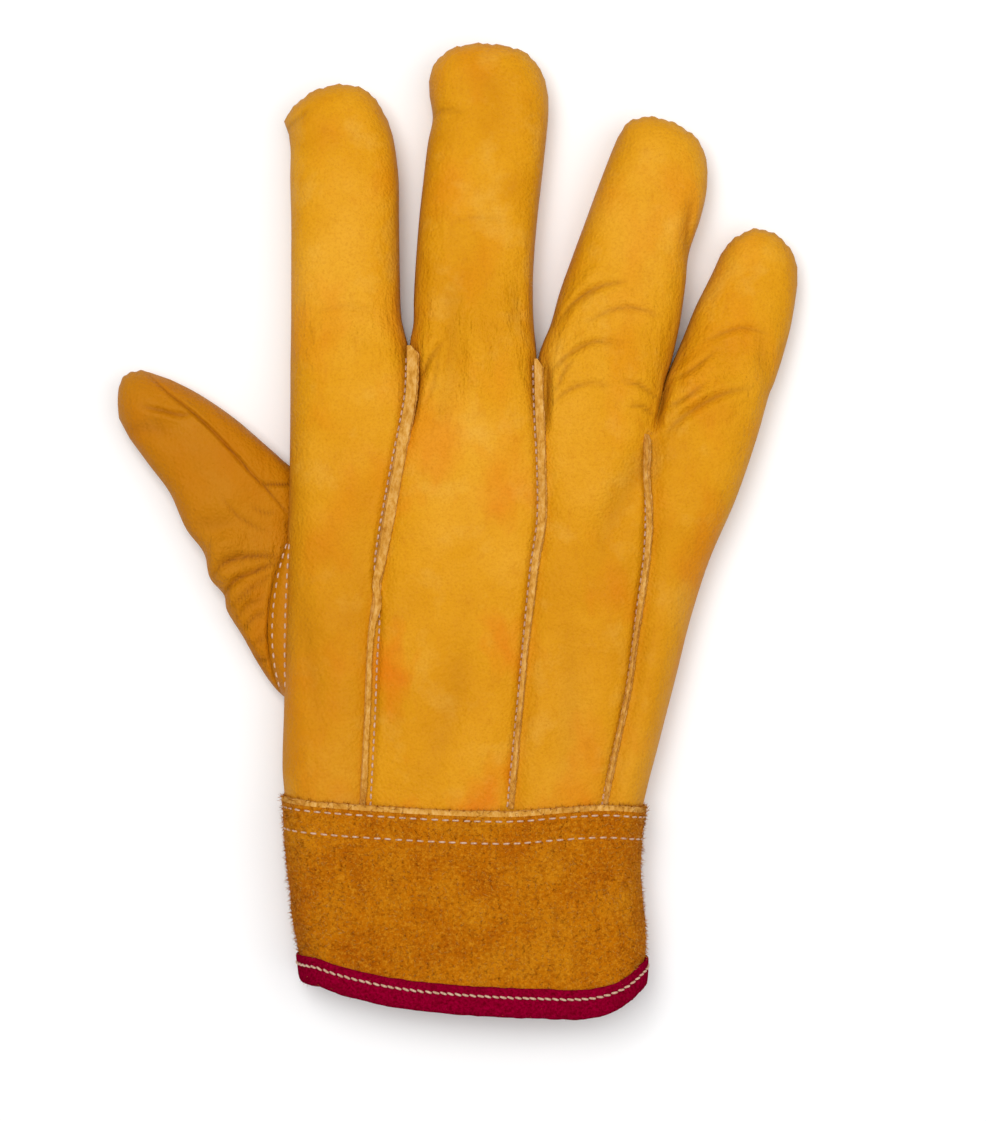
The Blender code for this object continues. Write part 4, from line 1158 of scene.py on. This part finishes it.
def add_cuff(suede_material, edge_material):
    turns = [k / CUFF_TURNS for k in range(CUFF_TURNS)]
    belows = [[r / CUFF_ROWS] * len(turns) for r in range(CUFF_ROWS + 1)]
    outer, outs = cuff_grid(turns, belows)
    draw = random.Random(SEEDS["nap"])
    rough = np.array([draw.uniform(-CUT_ROUGHNESS, CUT_ROUGHNESS) for _ in turns])
    outer[0, :, 1] += rough
    inner = outer - outs * SUEDE
    rows, columns = outer.shape[:2]
    lip = (outer[0] + inner[0]) / 2 + np.array([0.0, CUFF_LIP, 0.0])
    points = np.vstack([outer.reshape(-1, 3), inner.reshape(-1, 3), lip])
    outside = ring_faces(rows, columns, flip=True)
    inside = ring_faces(rows, columns, start=rows * columns)
    rims = cuff_rims(rows, columns)
    spikes = fibres(outer.reshape(-1, 3), outs.reshape(-1, 3), CUFF_NAP, draw)
    top = np.repeat(lip, 3, axis=0)
    spikes += fibres(top, np.tile(EDGE_NAP_WAY, (len(top), 1)), CUFF_EDGE_NAP, draw)
    vertices, faces = joined([(points, outside + inside + rims), *spikes])
    obj = mesh_object("cuff_band_suede", np.array(vertices) * MM, faces)
    for material in (suede_material, edge_material, pale_nap()):
        obj.data.materials.append(material)
    raw_rows = RAW_EDGE_ROWS * columns
    kinds = [1] * raw_rows + [0] * (len(outside) - raw_rows) + [1] * (len(inside) + len(rims))
    # half of the fibres' faces are pale
    kinds += [2 if k % 12 < 6 else 0 for k in range(len(faces) - len(kinds))]
    obj.data.polygons.foreach_set("material_index", kinds)
    dressed(obj, suede_material, "suede", "cuff_band")
    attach(obj, "cuff")


def cuff_line(depth, lift, from_bottom=False):
    """A closed line around the cuff at a depth from its top or its bottom edge."""
    turns = [k / EDGE_TURNS for k in range(EDGE_TURNS)]
    shares = [cuff_depth(t, depth) for t in turns]
    if from_bottom:
        shares = [1.0 - s for s in shares]
    grid, outs = cuff_grid(turns, [shares])
    line = grid[0] + outs[0] * lift
    places = list(zip(line, outs[0]))
    return places + places[:1]


def add_cuff_stitches(material):
    for name, depth in zip(("upper", "lower"), CUFF_STITCH_ROWS):
        places = cuff_line(depth, -0.05)
        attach(stitch_row(f"cuff_{name}", places, material, CUFF_THREAD), "cuff")
    places = cuff_line(TAPE_STITCH_DEPTH, TAPE_THICKNESS + 0.15, from_bottom=True)
    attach(stitch_row("binding", places, material, BINDING_THREAD), "cuff")


def add_tape(material):
    """The tape's rounded U over the cuff's lower edge."""
    turns = [k / EDGE_TURNS for k in range(EDGE_TURNS)]
    outside, inside = TAPE_PLAY, -SUEDE - TAPE_PLAY
    section = (
        (TAPE_DEPTH, outside), (TAPE_DEPTH + 0.15, outside + 0.5), (TAPE_DEPTH - 0.3, outside + 0.9),
        (TAPE_DEPTH * 0.8, outside + 1.0), (TAPE_DEPTH * 0.66, outside + 0.72),
        (TAPE_DEPTH * 0.5, outside + 1.05), (TAPE_DEPTH * 0.2, outside + 1.05), (0.0, outside + 0.8),
        (-0.7, outside + 0.2), (-1.0, (outside + inside) / 2), (-0.7, inside - 0.2),
        (0.0, inside - 0.8), (TAPE_DEPTH * 0.5, inside - 0.9), (TAPE_DEPTH * 0.9, inside - 0.9),
        (TAPE_DEPTH, inside - 0.5), (TAPE_DEPTH - 0.1, inside), (0.2, inside), (0.2, outside),
    )
    rings = []
    for depth, outward in section:
        shares = [1.0 - cuff_depth(t, depth) for t in turns]
        grid, outs = cuff_grid(turns, [shares])
        ripple = 0.12 * np.sin(np.arange(len(turns)) * 2 * math.pi * 0.42)
        shift = outward + ripple * (1 if outward > 0 else -1)
        ring = grid[0] + outs[0] * shift[:, None]
        ring[:, 1] += 0.25 * cloudy(ring, 3.0, 12.0)
        rings.append(ring)
    rings = np.array(rings)
    faces = ring_faces(*rings.shape[:2], closed=True)
    obj = mesh_object("binding_tape_fold", rings.reshape(-1, 3) * MM, faces)
    dressed(obj, material, "binding", "binding_tape")
    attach(obj, "cuff")


# ---------------------------------------------------------------- glove


def joint_place(name):
    return np.array(JOINTS[name]["pos_m"]) / MM


def finger_joints(name):
    return [joint_place(f"{name}_{segment}_bend") for segment in SEGMENTS]


def finger_cuts(name):
    """Points halfway between the finger's joints, where its pieces meet."""
    base, mid, tip = finger_joints(name)
    return (base + mid) / 2, (mid + tip) / 2


def finger_way(name):
    """The way a finger points."""
    base, mid, _ = finger_joints(name)
    return (mid - base) / np.linalg.norm(mid - base)


def row_at(sheet, point, along):
    """The row of a sheet nearest to the plane through point, square to the finger."""
    middles = sheet.points[:, sheet.points.shape[1] // 2]
    return int(np.argmin(np.abs((middles - point) @ along)))


def piece_marks(sheet, index, side):
    """The name of the piece that each row of faces belongs to."""
    digit = DIGITS[index].name
    first, second = [row_at(sheet, cut, finger_way(digit)) for cut in finger_cuts(digit)]
    palm_cut = int(np.argmin(np.abs(hand_rows() - PALM_CUT)))
    lower = f"{digit}_strip_lower" if side == "back" else "palm_lower"
    upper = f"{digit}_strip_upper" if side == "back" else f"{digit}_palm_upper"
    names = []
    for row in range(sheet.points.shape[0] - 1):
        if row < palm_cut:
            names.append(lower)
        elif row < first:
            names.append(upper)
        elif row < second:
            names.append(f"{digit}_mid_{side}_skin")
        else:
            names.append(f"{digit}_tip_{side}_skin")
    return names


def make_shell():
    shell = Shell()
    for index in range(len(DIGITS)):
        for side in ("back", "front"):
            sheet = strip_sheet(index, side == "back")
            shell.add(sheet, side == "back", piece_marks(sheet, index, side))
    shell.close()
    return shell


def make_thumb_shell():
    shell = Shell()
    _, cut = thumb_rows()
    for side in ("back", "front"):
        sheet = thumb_sheet(side == "back")
        marks = [f"thumb_base_{side}_skin" if row < cut else f"thumb_tip_{side}_skin"
                 for row in range(sheet.points.shape[0] - 1)]
        shell.add(sheet, side == "back", marks)
    shell.close()
    return shell


def bend(obj, a, b, start, end):
    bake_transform(obj)


def bend_at_wrist(obj):
    bend(obj, "cuff", "hand", (0, WRIST_ZONE[0], 12), (0, WRIST_ZONE[1], 12))


def skin(shell, name, leather, *nodes):
    """A leather piece of a shell in place of the CAD nodes."""
    return dressed(sheet_piece(shell, name, leather), None, "grain_leather", *nodes)


def add_hand_pieces(shell, leather):
    bend_at_wrist(skin(shell, "palm_lower", leather, "palm_panel", "palm_wrist_end"))
    for digit in DIGITS:
        name = digit.name
        bend_at_wrist(skin(shell, f"{name}_strip_lower", leather, f"{name}_strip_wrist_end"))


def add_finger_pieces(shell, leather, name):
    base, _, tip = finger_joints(name)
    along = finger_way(name)
    first, second = finger_cuts(name)
    near = base - along * KNUCKLE_REACH
    upper = skin(shell, f"{name}_strip_upper", leather, f"{name}_back_strip", f"{name}_base_back")
    palm = skin(shell, f"{name}_palm_upper", leather, f"{name}_base_front")
    for piece in (upper, palm):
        bend(piece, "hand", f"{name}_base", near, first - along * CUT_MARGIN)
    for side in ("back", "front"):
        piece = skin(shell, f"{name}_mid_{side}_skin", leather, f"{name}_mid_{side}")
        bend(piece, f"{name}_base", f"{name}_mid", first + along * CUT_MARGIN,
             second - along * CUT_MARGIN)
        piece = skin(shell, f"{name}_tip_{side}_skin", leather, f"{name}_tip_{side}")
        reach = np.linalg.norm(tip - second)
        bend(piece, f"{name}_mid", f"{name}_tip", second + along * CUT_MARGIN,
             tip + along * max(reach, TIP_REACH))


def thumb_direction():
    """The way the thumb points, square to its end joint's axis."""
    axis = np.array(JOINTS["thumb_tip_bend"]["axis"])
    way = np.array([-axis[1], axis[0], 0.0])
    way /= np.linalg.norm(way)
    return way if way[1] > 0 else -way


def add_thumb_pieces(shell, leather):
    way = thumb_direction()
    joint = joint_place("thumb_tip_bend")
    start = joint + way * THUMB_TIP_START
    for side in ("back", "front"):
        piece = skin(shell, f"thumb_base_{side}_skin", leather, f"thumb_base_{side}")
        bend(piece, "hand", "thumb_base", *THUMB_BASE_BEND)
        piece = skin(shell, f"thumb_tip_{side}_skin", leather, f"thumb_tip_{side}")
        bend(piece, "thumb_base", "thumb_tip", start, start + way * THUMB_TIP_LENGTH)


def add_gusset(thumb_tree, leather, thread_material):
    """The narrow strip between the hand's left edge and the thumb, with its two stitch rows."""
    ys = np.linspace(*GUSSET_ENDS, GUSSET_ROWS)
    outer = evenly(GUSSET_SEAM, SEAM_SAMPLES)[::-1]
    lefts = np.interp(ys, outer[:, 1], outer[:, 0])
    rights = edge_at(0, ys) + 1.0
    shell = Shell()
    grid = np.zeros((GUSSET_ROWS, GUSSET_COLUMNS, 3))
    for r, y in enumerate(ys):
        for c, share in enumerate(np.linspace(0.0, 1.0, GUSSET_COLUMNS)):
            x = lerp(lefts[r], rights[r], share)
            hit = thumb_tree.ray_cast(Vector((lefts[r], y, 99.0)), Vector((0, 0, -1)))[0]
            low = (hit.z if hit else GUSSET_LOW_Z) + GUSSET_LIFT
            z = lerp(low, GUSSET_HIGH_Z, share ** 0.8) + GUSSET_PUFF * math.sin(math.pi * share)
            grid[r, c] = (x, y, z)
    plain = np.zeros(GUSSET_ROWS * GUSSET_COLUMNS)
    # the gusset takes the thumb's painted shade
    sheet = Sheet(grid, plain, plain, plain + THUMB_PAINTED_SHADE, plain, plain)
    shell.add(sheet, True, ["thumb_gusset_skin"] * (len(ys) - 1))
    shell.close()
    piece = skin(shell, "thumb_gusset_skin", leather, "thumb_gusset")
    bend(piece, "hand", "thumb_base", *THUMB_BASE_BEND)
    tree = shell.tree()
    for name, share in GUSSET_STITCHES:
        xs = lerp(lefts, rights, share)
        line = np.column_stack([xs, ys])[2:-2]
        places = on_surface(tree, line)
        obj = stitch_row(f"gusset_{name}", places, thread_material, GUSSET_THREAD)
        bend(obj, "hand", "thumb_base", *THUMB_BASE_BEND)


def bridged(places, top):
    """Keeps an allowance from sinking into the gap between two fingers near its top."""
    level = next(point[2] for point, _ in places if point[1] > top - BRIDGE_LENGTH)
    kept = []
    for point, out in places:
        share = smooth((point[1] - top + BRIDGE_LENGTH) / BRIDGE_LENGTH)
        lowest = level - BRIDGE_SAG * share
        if share > 0 and point[2] < lowest:
            point = np.array([point[0], point[1], lowest])
            out = np.array([0.0, 0.0, 1.0])
        kept.append((point, out))
    return softened(kept)


def add_back_seams(tree, edge_material, thread_material):
    for seam in SEAMS:
        draw = random.Random(SEEDS["welt"] + seam.edge)
        places = bridged(on_surface(tree, seam_line(seam.edge, seam.shift, seam.top)), seam.top)
        parts = [welt_ply(seam, places, ply, draw) for ply in WELT_PLIES]
        tops = [p + o * 1.6 + np.array([s, 0, 0]) for p, o in places for s in WELT_NAP_SIDES]
        outs = [o for _, o in places for _ in WELT_NAP_SIDES]
        parts += fibres(tops, outs, WELT_NAP, draw)
        vertices, faces = joined(parts)
        obj = mesh_object(f"{seam.name}_seam_allowance", np.array(vertices) * MM, faces,
                          smooth_shading=False)
        dressed(obj, edge_material, "raw_edge", f"{seam.name}_seam_welt")
        bend_at_wrist(obj)
        places = on_surface(tree, stitch_line(seam, STITCHES_END_SHORT))
        bend_at_wrist(stitch_row(f"{seam.name}_seam", places, thread_material, SEAM_THREAD))


def add_glove():
    leather = (grain_leather(), flesh_side(), raw_edge())
    suede_material, thread_material = suede(), thread()
    shell, thumb = make_shell(), make_thumb_shell()
    add_hand_pieces(shell, leather)
    for digit in DIGITS:
        add_finger_pieces(shell, leather, digit.name)
    add_thumb_pieces(thumb, leather)
    add_gusset(thumb.tree(), leather, thread_material)
    add_back_seams(shell.tree(), leather[2], thread_material)
    add_cuff(suede_material, leather[2])
    add_tape(binding())
    add_cuff_stitches(thread_material)


# ---------------------------------------------------------------- stage


def add_floor():
    signs = ((-1, -1), (1, -1), (1, 1), (-1, 1))
    corners = [(x * FLOOR_HALF, y * FLOOR_HALF, FLOOR_Z) for x, y in signs]
    floor = mesh_object("floor", corners, [[0, 1, 2, 3]])
    material = bpy.data.materials.new("floor")
    material.use_nodes = True
    shader = material.node_tree.nodes["Principled BSDF"]
    shader.inputs["Base Color"].default_value = (FLOOR_WHITE, FLOOR_WHITE, FLOOR_WHITE, 1.0)
    shader.inputs["Roughness"].default_value = 0.9
    shader.inputs["Specular IOR Level"].default_value = 0.1
    floor.data.materials.append(material)


def add_light(name, place, size, energy):
    data = bpy.data.lights.new(name, "AREA")
    data.size = size
    data.energy = energy
    light = bpy.data.objects.new(name, data)
    light.location = place
    light.rotation_euler = (Vector(AIM) - light.location).to_track_quat("-Z", "Y").to_euler()
    bpy.context.scene.collection.objects.link(light)


def add_stage():
    add_floor()
    for light in LIGHTS:
        add_light(*light)
    world = bpy.data.worlds.new("studio")
    world.use_nodes = True
    background = world.node_tree.nodes["Background"]
    background.inputs["Color"].default_value = (1.0, 1.0, 1.0, 1.0)
    background.inputs["Strength"].default_value = WORLD_STRENGTH
    bpy.context.scene.world = world
    bpy.context.scene.view_settings.view_transform = "Standard"


def add_camera():
    data = bpy.data.cameras.new("camera")
    data.lens = LENS
    data.sensor_width = SENSOR
    camera = bpy.data.objects.new("camera", data)
    camera.location = CAMERA_PLACE
    bpy.context.scene.collection.objects.link(camera)
    bpy.context.scene.camera = camera


add_camera()
add_stage()
add_glove()
